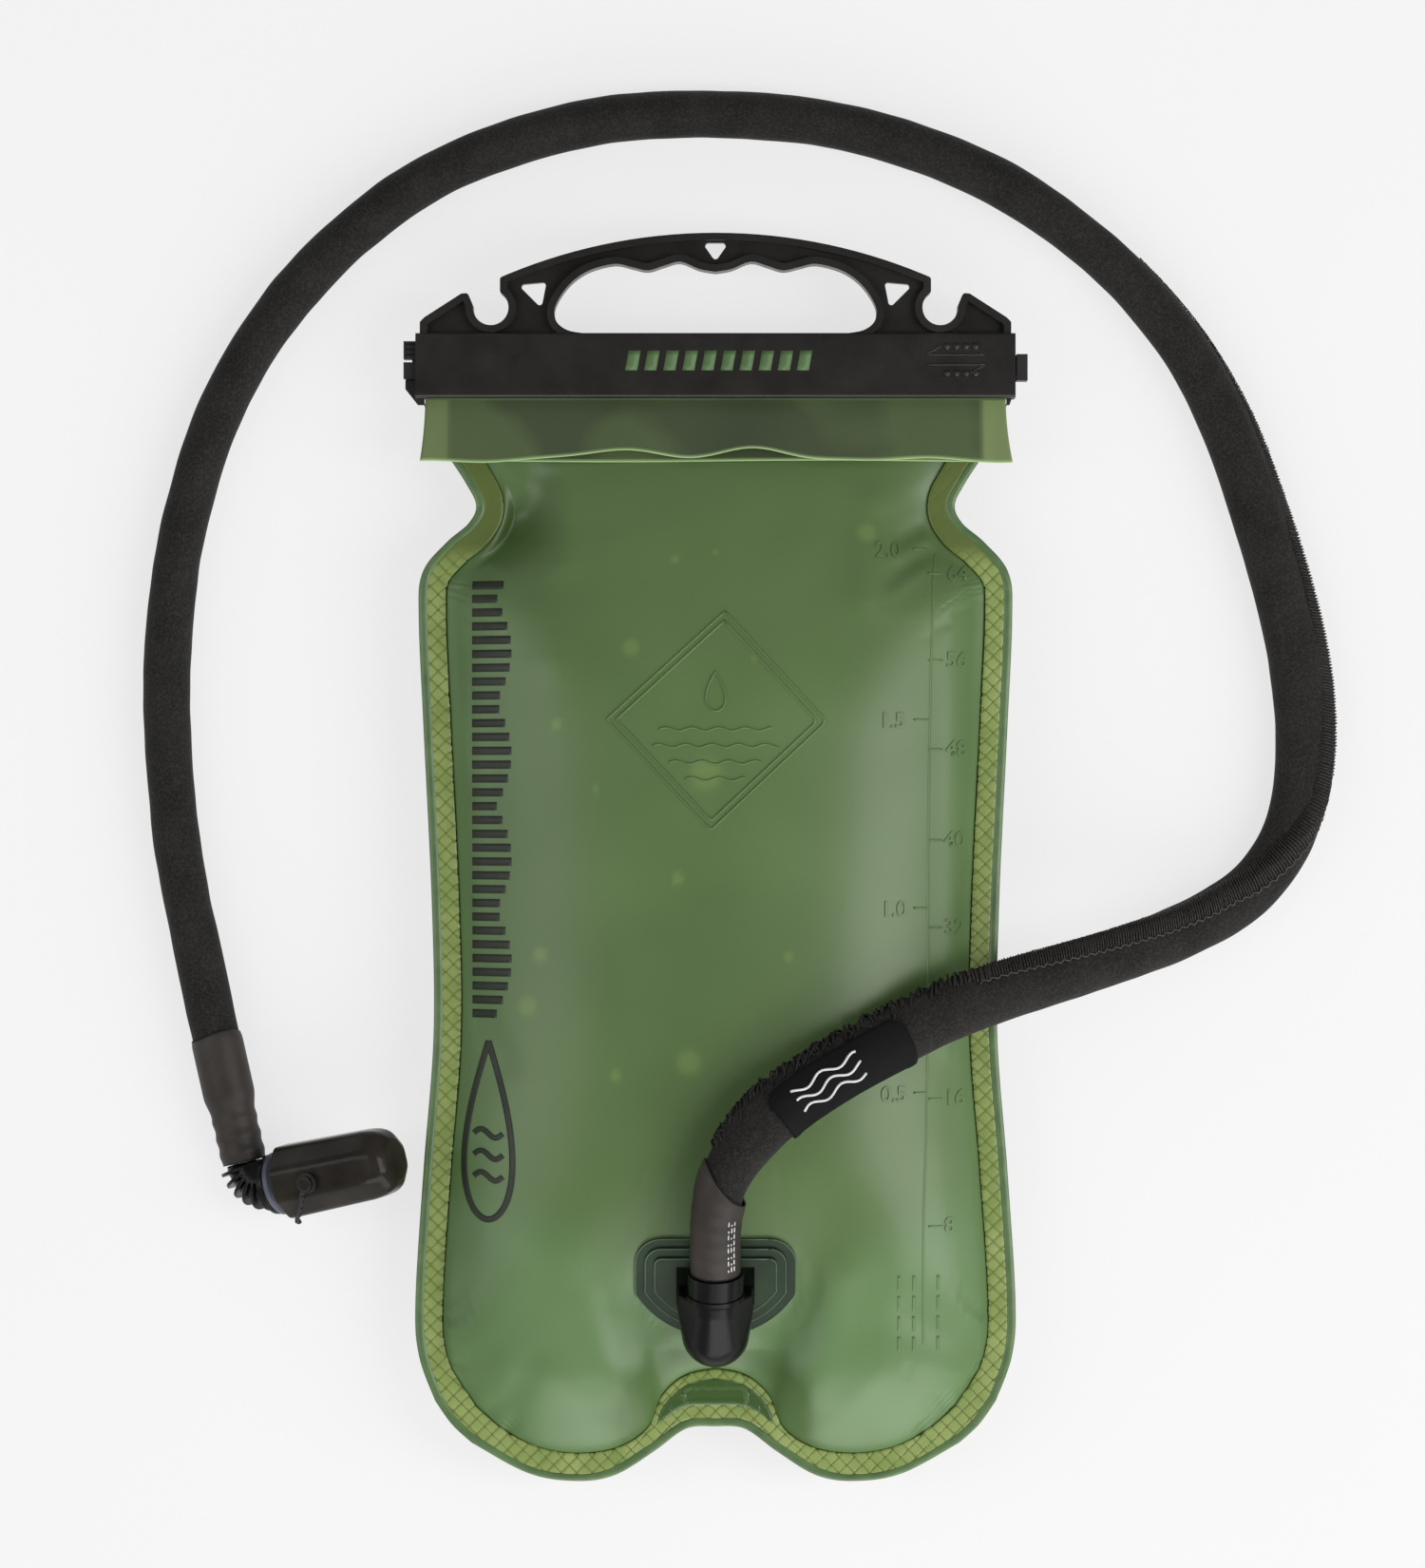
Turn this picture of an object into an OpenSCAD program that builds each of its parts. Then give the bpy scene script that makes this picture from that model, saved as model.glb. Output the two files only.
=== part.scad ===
// Two litre hydration bladder lying on its back: welded film reservoir, slide lock with carry
// handle, hose port, insulated drink hose and elbow bite valve under a dust cap.
// Millimetres. The back film rests on z = 0, +Y points to the carry handle and +Z away from the
// wearer's back. The origin is under the middle of the reservoir.

/* [Reservoir] */
// Height of the weld seam plane above the resting surface
seam_z = 20; // [19:0.5:21]
// Thickness of the TPU film
film_t = 0.5; // [0.3:0.1:0.6]
// Rise of the front film above the seam plane at the crown
front_rise = 25; // [20:0.5:28]
// Depth that the back film would bulge if nothing pressed it flat
back_rise = 24; // [18:0.5:28]
// Width of the welded rim along the sides
rim_w = 7.6; // [6:0.2:9]
// Half width of the mouth where it enters the slide lock
mouth_half = 88.5; // [88:0.1:89]

/* [Slide lock] */
// Half length of the lock bar
bar_half = 91.3; // [90.8:0.1:92]
// Lowest Y of the bar
bar_y0 = 139.5; // [139:0.1:139.8]
// Highest Y of the bar
bar_y1 = 159.2; // [159:0.1:160]
// Underside of the bar
bar_z0 = 15.6; // [15.4:0.1:15.8]
// Top of the bar
bar_z1 = 27.2; // [26.8:0.1:28]
// Wall of the channel
bar_wall = 1.9; // [1.6:0.1:2]
// Lower edge of the slot that the film runs through
slot_z0 = 19; // [18.8:0.1:19]
// Upper edge of the slot
slot_z1 = 22.4; // [22.3:0.1:22.8]

/* [Carry handle] */
// Radius of the arched top edge
arch_r = 165; // [160:0.5:175]
// Y of the top of the arch
arch_top = 189.7; // [189:0.1:191]
// Half length of the arched part
arch_half = 65.6; // [65:0.1:66.5]
// Thickness of the handle rims
handle_t = 10; // [8:0.5:11]
// Thickness of the recessed web
web_t = 3.6; // [3:0.1:4.5]
// Width of the raised rims
rim_rib = 2.2; // [1.8:0.1:2.6]
// Radius of the two hook notches
notch_r = 5.4; // [5:0.1:5.6]
// Half length of the hand hole
grip_half = 49.5; // [46:0.5:50]
// Height of the hand hole
grip_h = 22; // [20:0.5:22.5]

/* [Hose port] */
// Tilt of the port's plane, rising towards the handle
port_tilt = 20; // [18:1:22]
// Width of the welded flange
flange_w = 48.7; // [46:0.1:50]
// Length of the welded flange
flange_l = 32.4; // [31:0.1:34]
// Thickness of each of the three flange steps
flange_step = 0.8; // [0.6:0.1:1]
// Half width of the D-shaped well
well_half = 13; // [12.8:0.1:13.5]
// Depth of the well below the flange
well_d = 3.5; // [3:0.1:4]
// Radius of the elbow's stem
stem_r = 6.4; // [6.2:0.1:6.5]
// Bore radius of the socket
socket_r = 6.6; // [6.6:0.1:6.8]

/* [Drink hose] */
// Outer diameter of the drink tube
tube_d = 9.5; // [9:0.1:10]
// Bore of the drink tube
tube_bore = 6.5; // [6:0.1:6.8]
// Outer diameter of the insulating sleeve
sleeve_d = 15; // [14.6:0.1:15.2]
// Wall of the shrink sleeves
shrink_wall = 0.6; // [0.4:0.1:0.7]

/* [Bite valve] */
// Turn of the valve elbow about the vertical
valve_turn = 13; // [11:1:15]
// Upward tilt of the valve about the hose
valve_tilt = 26; // [25:1:30]
// Width of the dust cap across its flats at the open end
cap_w = 22.4; // [22:0.1:23]
// Length of the dust cap
cap_l = 38.5; // [37:0.5:40]
// Wall of the dust cap
cap_wall = 1.1; // [1:0.1:1.4]

/* [Hidden] */
$fn = 48;
eps = 0.01;

// Centre line of the hose from the port's collar to the valve's elbow, lying on the bag and
// then on the surface that the bag lies on.
hose_route = [
  [0, -125, 47.5], [0, -113, 51.9], [1, -102, 55.5], [4, -94, 57], [11, -84, 57.5],
  [21, -74.5, 56.5], [36, -64.5, 53.5], [53, -55.5, 48.5], [70, -47.5, 42.5], [88, -41, 35],
  [106, -35.5, 26.5], [124, -30, 18.5], [141, -24, 11.8], [156, -16.5, 8.2], [168, -6.5, 7.6],
  [177, 9, 7.6], [180.5, 30, 7.6], [179, 55, 7.6], [174, 79, 7.6], [166, 106, 7.6],
  [156, 134, 7.6], [141, 160, 7.6], [119, 184, 7.6], [90, 205, 7.6], [60, 218, 7.6],
  [30, 225.5, 7.6], [-2, 227.5, 7.6], [-33, 226, 7.6], [-65, 218, 7.6], [-92, 205.5, 7.6],
  [-117, 186, 7.6], [-137, 163, 7.6], [-151, 139, 7.6], [-160, 114, 7.6], [-166, 86, 7.6],
  [-168.5, 50, 7.6], [-165.5, 5, 7.6], [-158, -34, 8.2], [-150.5, -68, 8.8], [-144.5, -94, 9.5]];
// Where the hose starts in the port's own frame, [y, z], and from it the port's own origin.
collar_end = [10, 11.6];
port_at = hose_route[0] - [0, collar_end[0] * cos(port_tilt) - collar_end[1] * sin(port_tilt),
                           collar_end[0] * sin(port_tilt) + collar_end[1] * cos(port_tilt)];

// Small shape functions shared by the film and the hose.
function mix(a, b, f) = a * (1 - f) + b * f;
function clamp01(f) = max(0, min(1, f));
function smooth(f) = let (c = clamp01(f)) c * c * (3 - 2 * c);
function unit(v) = v / norm(v);
function at(pts, i) = pts[max(0, min(len(pts) - 1, i))];
// Catmull-Rom curve through pts; t counts the points.
function curve(pts, t) =
  let (i = min(len(pts) - 2, floor(t)), f = t - i,
       a = at(pts, i - 1), b = at(pts, i), c = at(pts, i + 1), d = at(pts, i + 2))
  0.5 * (2 * b + (c - a) * f + (2 * a - 5 * b + 4 * c - d) * f * f
         + (3 * b - a - 3 * c + d) * f * f * f);

// ---- Reservoir film ----
// Right-hand half of the outline: foot of the bag from the middle to the corner, the corner,
// then the side up over the shoulder and neck to the mouth.
foot_rim = [[0, -173.5], [9, -174.2], [19, -181], [31, -188.3], [43, -190], [57, -187.6],
            [74, -178.5]];
corner_rim = [80, -173];
side_rim = [[85, -166], [90, -152], [91, -135], [88.5, -95], [85.5, -55], [86, -15], [88.5, 38],
            [90, 72], [89, 86], [82, 95], [75, 101], [72.5, 107], [76, 114.5], [84, 127],
            [mouth_half, bar_y0 - 1.5]];
// Inner edge of the weld at the foot: it climbs round the moulded tab in the middle.
foot_seam = [[0, -156.5], [9, -158.5], [16, -164.5], [20.5, -174.5], [30, -180.6], [42, -182.4],
             [54, -180.6], [65, -175], [73.7, -167.5]];
cols = 18;
rows = 26;
mouth_y = bar_y0 - 1.5;
seam_half = mouth_half - rim_w;

function mirrored(p, s) = [s < 0 ? -p[0] : p[0], p[1]];
function foot_seam_at(q) = mirrored(curve(foot_seam, abs(q) * (len(foot_seam) - 1)), q);
function foot_rim_at(q) = mirrored(curve(foot_rim, abs(q) * (len(foot_rim) - 1)), q);
function side_rim_at(t) = curve(side_rim, t * (len(side_rim) - 1));
// The side weld's inner edge lies rim_w inside the outline.
function side_seam_at(t) =
  t <= 0 ? foot_seam[len(foot_seam) - 1]
  : t >= 1 ? [seam_half, mouth_y]
  : let (d = unit(side_rim_at(min(1, t + 0.01)) - side_rim_at(max(0, t - 0.01))),
         p = side_rim_at(t) + rim_w * [-d[1], d[0]])
    mix(p, mix(foot_seam[len(foot_seam) - 1], [seam_half, mouth_y], t),
        1 - smooth(min(t, 1 - t) * 20));
// Coons patch between the foot, the two sides and the mouth. q runs -1..1 and t runs 0..1.
function patch(q, t) =
  let (u = (q + 1) / 2, foot = foot_seam_at(q), top = [seam_half * q, mouth_y],
       r = side_seam_at(t), l = [-r[0], r[1]],
       c = foot_seam[len(foot_seam) - 1], m = [seam_half, mouth_y])
  mix(foot, top, t) + mix(l, r, u)
  - mix(mix([-c[0], c[1]], c, u), mix([-m[0], m[1]], m, u), t);

// Fullness of the bag over the patch: 0 on the seam, 1 at the crown.
function fullness(q, t) =
  pow(1 - pow(abs(q), 2.4), 0.62) * pow(sin(90 * clamp01(t / 0.24)), 0.7)
  * (1 - smooth((t - 0.5) / 0.47));

// The port's flange lies on a flat patch of film, so the film stays under this plane near it.
function port_plane(p) = port_at[2] + (p[1] - port_at[1]) * tan(port_tilt);
function near_port(p) = norm([p[0] / port_flat[0], (p[1] - port_at[1]) / port_flat[1]]) < 1;
port_flat = [40, 33];
function front_z(p, q, t) =
  let (z = seam_z + film_t + (front_rise - film_t) * fullness(q, t))
  near_port(p) ? min(z, port_plane(p)) : z;
function back_z(q, t) = max(0, seam_z - film_t - (back_rise - film_t) * fullness(q, t));

// Path of the two film layers round the fold rail, seen from the side, as [y, z] of the face
// that starts as the outer face. r is that face's radius about the rail's rounded edge.
fold_y = 154.3;
fold_z = 22;
flap_y = 120;
function turn(r) = [for (a = [-90:22.5:90]) [fold_y + r * cos(a), fold_z + r * sin(a)]];
function tail(r, lift) = concat(
  [[bar_y0, fold_z - r], [bar_y0 + 5, fold_z - r], [148.5, fold_z - r]],
  turn(r),
  [[149, fold_z + r], [143.5, 20.9 + lift], [bar_y0, 20.9 + lift], [136, 21.6 + lift],
   [130, 23 + lift], [125, 24.2 + lift], [flap_y, 25.4 + lift]]);

// One row of grid points, from the left rim to the right rim.
function q_of(i) = -1 + 2 * (i - 1) / (cols - 2);
function bag_row(j, front) =
  let (t = (j - 1) / (rows - 1), edge_z = seam_z + (front ? film_t : -film_t))
  [for (i = [0:cols])
    let (side = i == 0 ? -1 : 1, q = max(-1, min(1, q_of(i))))
    i == 0 || i == cols
      ? let (p = j == 0 ? corner_rim : side_rim_at(t)) [side * p[0], p[1], edge_z]
      : j == 0
        ? let (p = foot_rim_at(q)) [p[0], p[1], edge_z]
        : let (p = patch(q, t)) [p[0], p[1], front ? front_z(p, q, t) : back_z(q, t)]];
function tail_row(p) =
  [for (i = [0:cols])
    let (x = i == 0 ? -mouth_half : i == cols ? mouth_half : seam_half * q_of(i))
    [x, p[0], p[1]]];

// Closed sheet: the grid's own face, and a second face film_t away on the wet side.
function normal_at(g, j, i) =
  let (a = g[min(len(g) - 1, j + 1)][i] - g[max(0, j - 1)][i],
       b = g[j][min(cols, i + 1)] - g[j][max(0, i - 1)])
  unit(cross(b, a));
module film(g, front) {
  n = len(g);
  w = cols + 1;
  s = front ? -film_t : film_t;
  wet = [for (j = [0:n - 1]) for (i = [0:cols])
    let (rim = j == 0 || (j <= rows && (i == 0 || i == cols)))
    g[j][i] + s * (rim ? [0, 0, 1] : normal_at(g, j, i))];
  dry = [for (r = g) for (p = r) p];
  lift = n * w;
  skin = [for (j = [0:n - 2]) for (i = [0:cols - 1])
    let (a = j * w + i) each [[a, a + w, a + w + 1], [a, a + w + 1, a + 1]]];
  loop = concat([for (i = [0:cols - 1]) i], [for (j = [0:n - 2]) j * w + cols],
                [for (i = [cols:-1:1]) (n - 1) * w + i], [for (j = [n - 1:-1:1]) j * w]);
  wall = [for (k = [0:len(loop) - 1])
    let (a = loop[k], b = loop[(k + 1) % len(loop)])
    each [[a, b, b + lift], [a, b + lift, a + lift]]];
  shell = concat(skin, [for (f = skin) [f[2] + lift, f[1] + lift, f[0] + lift]], wall);
  polyhedron(concat(dry, wet), front ? shell : [for (f = shell) [f[2], f[1], f[0]]], 10);
}

module front_film() {
  color([0.42, 0.58, 0.33])
  difference() {
    film(concat([for (j = [0:rows]) bag_row(j, true)],
                [for (p = tail(1.5, 0)) tail_row(p)]), true);
    port_place() translate([0, 0, -12]) linear_extrude(24) well_outline(0.1);
  }
}
module back_film() {
  color([0.37, 0.52, 0.29])
  film(concat([for (j = [0:rows]) bag_row(j, false)],
              [for (p = tail(2.6, 1.1)) tail_row(p)]), false);
}

// ---- Rails inside the folded mouth ----
rail_end = 95;
rail_gap = 0.15;
rail_half_t = 1.5 - rail_gap;
module along_x(x0, x1) translate([x0, 0, 0]) rotate([90, 0, 90]) linear_extrude(x1 - x0) children();
module fold_rail_profile() {
  translate([fold_y, fold_z]) circle(rail_half_t);
  polygon([[145.5, fold_z - rail_half_t], [fold_y, fold_z - rail_half_t],
           [fold_y, fold_z + rail_half_t], [149.2, fold_z + rail_half_t], [145.5, 21.3]]);
}
module fold_rail() {
  rib_pitch = 1.6;
  color([0.16, 0.15, 0.14]) {
    along_x(-mouth_half - 1, mouth_half + 1) fold_rail_profile();
    // Ribbed head at the left end, small enough for the channel, and a stop at the right end.
    difference() {
      translate([-rail_end, 151.4, 18]) cube([rail_end - mouth_half - 0.5, 5.4, 7]);
      for (k = [0:2])
        translate([-rail_end - 1, 152.3 + k * rib_pitch, 24.2]) cube([5, 0.7, 2]);
    }
    translate([-rail_end, 145.4, 20.2]) cube([rail_end - mouth_half - 0.5, 5, 4.8]);
    translate([-rail_end + 2.6, 150, 20.2]) cube([rail_end - mouth_half - 3.1, 2, 4]);
    translate([bar_half + 0.4, 144.8, 18]) cube([rail_end - bar_half - 0.4, 8, 8.4]);
    translate([mouth_half + 0.5, 147, 20.2]) cube([bar_half - mouth_half + 0.5, 5, 4.3]);
  }
}
// Raked tongue where the neck rail leaves the bar: one layer in the channel, one in the slot.
module tongue(reach) {
  x0 = mouth_half + tongue_gap;
  x1 = x0 + reach;
  translate([0, 0, neck_rail_z]) linear_extrude(2.1)
  polygon([[x0, 143], [x1, 143], [x1, 147], [x1 - 2, 150], [x0, 150]]);
  translate([0, 0, 19.3]) linear_extrude(2.2)
  polygon([[x0, 137.6], [x0 + 0.35 * reach, 137.6], [x1, 142.4], [x1, 145], [x0, 145]]);
}
neck_rail_z = 17.8;
tongue_gap = 0.3;
module neck_rail() {
  t = 1.45;
  half = mouth_half + tongue_gap + 0.1;
  color([0.13, 0.12, 0.12]) {
    translate([-half, 146, neck_rail_z]) cube([2 * half, 8, t]);
    tongue(2.6);
    mirror([1, 0, 0]) tongue(5.8);
  }
}

// ---- Slide lock with its carry handle ----
module bar_profile() {
  round_r = 1.2;
  difference() {
    translate([bar_y0 + round_r, bar_z0 + round_r])
    offset(round_r) square([bar_y1 - bar_y0 - 2 * round_r, bar_z1 - bar_z0 - 2 * round_r]);
    translate([bar_y0 + bar_wall, bar_z0 + bar_wall])
    square([bar_y1 - bar_y0 - 2 * bar_wall, bar_z1 - bar_z0 - 2 * bar_wall]);
    translate([bar_y0 - 1, slot_z0]) square([bar_wall + 2, slot_z1 - slot_z0]);
  }
}
notch_at = [68.4, 167];
module mirror_x() {
  children();
  mirror([1, 0, 0]) children();
}
// Right-hand half of the hand hole's edge, as [x, height above the bar] in parts of its
// half width and height: finger waves along the top, then round the end down to the bar.
grip_edge = [[0, 0.845], [0.1, 0.885], [0.215, 0.985], [0.315, 0.93], [0.415, 0.865],
             [0.515, 0.91], [0.62, 0.955], [0.77, 0.87], [0.875, 0.72], [0.95, 0.52],
             [0.99, 0.32], [0.975, 0.15], [0.91, 0.04], [0.82, 0]];
module grip_hole() {
  last = len(grip_edge) - 1;
  right = [for (t = [0:0.25:last])
    let (p = curve(grip_edge, t)) [grip_half * p[0], bar_y1 + grip_h * max(0, p[1])]];
  polygon(concat(right, [for (i = [len(right) - 1:-1:1]) [-right[i][0], right[i][1]]]));
}
module handle_blank() {
  offset(1) offset(-1)
  difference() {
    union() {
      intersection() {
        translate([0, arch_top - arch_r]) circle(arch_r, $fn = 240);
        translate([-arch_half, bar_y1 - 6]) square([2 * arch_half, 50]);
      }
      mirror_x()
      polygon([[40, bar_y1 - 6], [90, bar_y1 - 6], [90, 162.6], [88.6, 164], [77.4, 171.2],
               [75.4, 171.4], [74, 168], [64, 168], [58, 178], [40, 178]]);
    }
    mirror_x() {
      translate(notch_at) circle(notch_r);
      polygon([[notch_at[0] - 2.2, notch_at[1]], [notch_at[0] + 5.2, notch_at[1]],
               [notch_at[0] + 7.2, notch_at[1] + 12], [notch_at[0] - 2.7, notch_at[1] + 12]]);
    }
  }
}
module small_holes() {
  mirror_x() offset(0.9) polygon([[53.6, 168.8], [58.2, 173.4], [52.6, 173.9]]);
  offset(1) polygon([[-2.1, 185.9], [2.1, 185.9], [0, 182.9]]);
}
module slide_lock() {
  z_mid = (bar_z0 + bar_z1) / 2;
  pocket_d = (handle_t - web_t) / 2;
  color([0.19, 0.18, 0.17])
  difference() {
    union() {
      along_x(-bar_half, bar_half) bar_profile();
      difference() {
        translate([0, 0, z_mid - handle_t / 2]) linear_extrude(handle_t)
        difference() {
          handle_blank();
          grip_hole();
          translate([-100, 0]) square([200, bar_y1 - 0.6]);
        }
        for (s = [-1, 1])
          translate([0, 0, z_mid + s * (web_t + pocket_d + 1) / 2 - (pocket_d + 1) / 2])
          linear_extrude(pocket_d + 1)
          difference() {
            offset(-rim_rib) difference() {
              handle_blank();
              grip_hole();
            }
            translate([-100, 0]) square([200, bar_y1 + eps]);
          }
        translate([0, 0, z_mid - handle_t]) linear_extrude(2 * handle_t) small_holes();
      }
    }
    mirror_x()
    translate([notch_at[0], notch_at[1], z_mid - handle_t]) cylinder(r = notch_r, h = 2 * handle_t);
  }
}

// ---- Hose port ----
module port_place() translate(port_at) rotate([port_tilt, 0, 0]) children();
module d_outline(half_w, top, bottom, corner) {
  hull() {
    mirror_x() translate([half_w - corner, top - corner]) circle(corner);
    intersection() {
      translate([0, bottom + half_w * 1.15]) circle(half_w * 1.15);
      translate([-half_w, bottom]) square([2 * half_w, top - bottom - corner]);
    }
  }
}
module well_outline(gap) offset(gap) d_outline(well_half, 8.8, -12.6, 1.2);
socket_y = -2.5;
module port_flange() {
  color([0.2, 0.34, 0.24]) port_place()
  difference() {
    union() {
      for (k = [0:2])
        linear_extrude(flange_step * (k + 1))
        offset(-2.9 * k) d_outline(flange_w / 2, flange_l / 2, -flange_l / 2, 8);
      translate([0, 0, -well_d - 1.5]) linear_extrude(well_d + 1.5) well_outline(0);
    }
    translate([0, 0, -well_d]) linear_extrude(20) offset(-1.2) well_outline(0);
    translate([0, socket_y, -20]) cylinder(r = socket_r + 0.2, h = 30);
  }
}
module port_socket() {
  color([0.17, 0.29, 0.2]) port_place()
  translate([0, socket_y, 0])
  difference() {
    union() {
      translate([0, 0, -15]) cylinder(r = 9, h = 15 - well_d - 1.5);
      translate([0, 0, -8]) cylinder(r = 10.4, h = 8 - well_d - 1.5);
    }
    translate([0, 0, -16]) cylinder(r = socket_r, h = 20);
  }
}
ring_z = [-7.5, -11];
ring_wire = 0.8;
ring_sink = 0.55;
module elbow_o_rings() {
  color([0.08, 0.08, 0.08]) port_place()
  translate([0, socket_y, 0])
  for (z = ring_z)
    translate([0, 0, z])
    rotate_extrude()
    translate([stem_r - ring_sink, 0]) circle(ring_wire, $fn = 24);
}
barb_r = tube_bore / 2;
module port_elbow() {
  spigot_r = 6.2;
  bore_r = 2.3;
  axis_z = collar_end[1];
  color([0.09, 0.09, 0.09]) port_place()
  difference() {
    union() {
      intersection() {
        hull() {
          translate([0, -12.4, 6.6]) sphere(10.3, $fn = 40);
          translate([0, -1, 3]) cylinder(r = 11.6, h = 7.5, $fn = 40);
          translate([0, 1.5, axis_z]) rotate([90, 0, 0]) cylinder(r = 7.6, h = 4, $fn = 32);
        }
        translate([-20, -30, 3]) cube([40, 32, 20]);
      }
      translate([0, socket_y, -14]) cylinder(r = stem_r, h = 18);
      translate([0, -4, axis_z]) rotate([-90, 0, 0]) cylinder(r = spigot_r, h = 13);
      translate([0, 0, axis_z]) rotate([-90, 0, 0]) cylinder(r = barb_r, h = 26);
    }
    translate([0, socket_y, 0])
    for (z = ring_z)
      translate([0, 0, z])
      rotate_extrude()
      translate([stem_r - ring_sink - ring_wire, -ring_wire]) square([2, 2 * ring_wire]);
    translate([0, socket_y, -15]) cylinder(r = bore_r, h = 15 + axis_z);
    translate([0, socket_y - 1, axis_z]) rotate([-90, 0, 0]) cylinder(r = bore_r, h = 40);
  }
}
module hose_collar() {
  color([0.12, 0.12, 0.12]) port_place()
  difference() {
    translate([0, collar_end[0] - 8, collar_end[1]]) rotate([-90, 0, 0])
    difference() {
      union() {
        cylinder(r = 8.4, h = 7.9);
        cylinder(r = 8.9, h = 1.3);
      }
      translate([0, 0, -1]) cylinder(r = 6.2, h = 8);
      cylinder(r = tube_d / 2 + 0.1, h = 10);
    }
    translate([0, socket_y, 0]) cylinder(r = stem_r + 0.3, h = 4.3);
  }
}

// ---- Drink hose ----
hose_last = len(hose_route) - 1;
sides = 12;
function hose_dir(t) =
  unit(curve(hose_route, min(hose_last, t + 0.05)) - curve(hose_route, max(0, t - 0.05)));
function hose_ring(t, r) =
  let (p = curve(hose_route, t), d = hose_dir(t), s = unit(cross(d, [0, 0, 1])), u = cross(s, d))
  [for (k = [0:sides - 1]) p + r * (cos(360 * k / sides) * s + sin(360 * k / sides) * u)];
// Tube along the route: stops lists [t, outer radius, inner radius].
module hose_tube(stops) {
  n = len(stops);
  outer = [for (s = stops) each hose_ring(s[0], s[1])];
  inner = [for (s = stops) each hose_ring(s[0], s[2])];
  in0 = n * sides;
  function quad(a, b, c, d) = [[a, b, c], [a, c, d]];
  faces = [
    for (j = [0:n - 2]) for (k = [0:sides - 1])
      let (m = (k + 1) % sides, a = j * sides + k, b = j * sides + m, c = b + sides, d = a + sides)
      each concat(quad(a, d, c, b), quad(in0 + a, in0 + b, in0 + c, in0 + d)),
    for (k = [0:sides - 1])
      let (m = (k + 1) % sides, e = (n - 1) * sides)
      each concat(quad(k, m, in0 + m, in0 + k),
                  quad(e + m, e + k, in0 + e + k, in0 + e + m))];
  polyhedron(concat(outer, inner), faces, 10);
}
sleeve_end = hose_last - 1;
module drink_tube() {
  color([0.75, 0.8, 0.85])
  hose_tube([for (t = [0:0.5:hose_last]) [t, tube_d / 2, tube_bore / 2]]);
}
module insulating_sleeve() {
  r = sleeve_d / 2;
  color([0.13, 0.13, 0.13])
  hose_tube([for (t = [0:0.5:sleeve_end]) [t, r, tube_d / 2 + 0.1]]);
}
module sleeve_label() {
  r = sleeve_d / 2 + 0.1;
  color([0.1, 0.1, 0.1])
  hose_tube([for (t = [5.5:0.5:8]) [t, r + 0.6, r]]);
}
module port_shrink_sleeve() {
  r = sleeve_d / 2 + 0.1;
  color([0.29, 0.26, 0.25])
  hose_tube([for (t = [0:0.5:2.5]) [t, r + shrink_wall, r]]);
}
module valve_shrink_sleeve() {
  r = sleeve_d / 2 + 0.1;
  slim = tube_d / 2 + 0.1;
  color([0.29, 0.26, 0.25])
  hose_tube([[hose_last - 1.5, r + shrink_wall, r], [hose_last - 1, r + shrink_wall, r],
             [hose_last - 0.5, 7, slim], [hose_last, 6.8, slim]]);
}

// ---- Bite valve ----
// Local frame: the origin is the corner of the elbow, +Y goes up the hose and +X out through
// the mouthpiece.
hose_stub = 8;
module valve_place()
  translate(hose_route[hose_last]) rotate([0, 0, valve_turn]) rotate([0, -valve_tilt, 0])
  translate([0, -hose_stub - 0.5, 0]) children();
module tube_x(x0, x1, r_out, r_in)
  translate([x0, 0, 0]) rotate([0, 90, 0]) difference() {
    cylinder(r = r_out, h = x1 - x0);
    translate([0, 0, -1]) cylinder(r = r_in, h = x1 - x0 + 2);
  }
gasket_x = [9.6, 12.4];
spigot_x = 13.4;
nozzle_x = 13.8;
cap_x = 13.8;
journal_r = 4.4;
valve_bore_r = 2.3;
module valve_elbow() {
  body_r = 5.6;
  fin_r = 7.9;
  fin_t = 1.1;
  fins = 6;
  seat_r = journal_r + 0.1;
  color([0.1, 0.1, 0.1])
  valve_place() difference() {
    union() {
      translate([hose_stub, hose_stub, 0])
      rotate([0, 0, 180]) rotate_extrude(angle = 90) translate([hose_stub, 0]) circle(body_r);
      for (k = [0:fins - 1])
        translate([hose_stub, hose_stub, 0])
        rotate([0, 0, 188 + 74 * k / (fins - 1)])
        translate([hose_stub, fin_t / 2, 0]) rotate([90, 0, 0]) cylinder(r = fin_r, h = fin_t);
      translate([0, hose_stub - eps, 0]) rotate([-90, 0, 0]) cylinder(r = body_r, h = 0.3);
      translate([0, hose_stub - eps, 0]) rotate([-90, 0, 0]) cylinder(r = barb_r, h = 22);
      translate([hose_stub - eps, 0, 0]) rotate([0, 90, 0]) cylinder(r = 9.3, h = 1.6);
      translate([hose_stub - eps, 0, 0]) rotate([0, 90, 0]) cylinder(r = 6.2, h = spigot_x - hose_stub);
    }
    translate([hose_stub, hose_stub, 0])
    rotate([0, 0, 180]) rotate_extrude(angle = 90) translate([hose_stub, 0]) circle(valve_bore_r);
    translate([0, hose_stub - eps, 0]) rotate([-90, 0, 0]) cylinder(r = valve_bore_r, h = 30);
    translate([hose_stub - eps, 0, 0]) rotate([0, 90, 0]) cylinder(r = seat_r, h = 10);
  }
}
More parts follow.
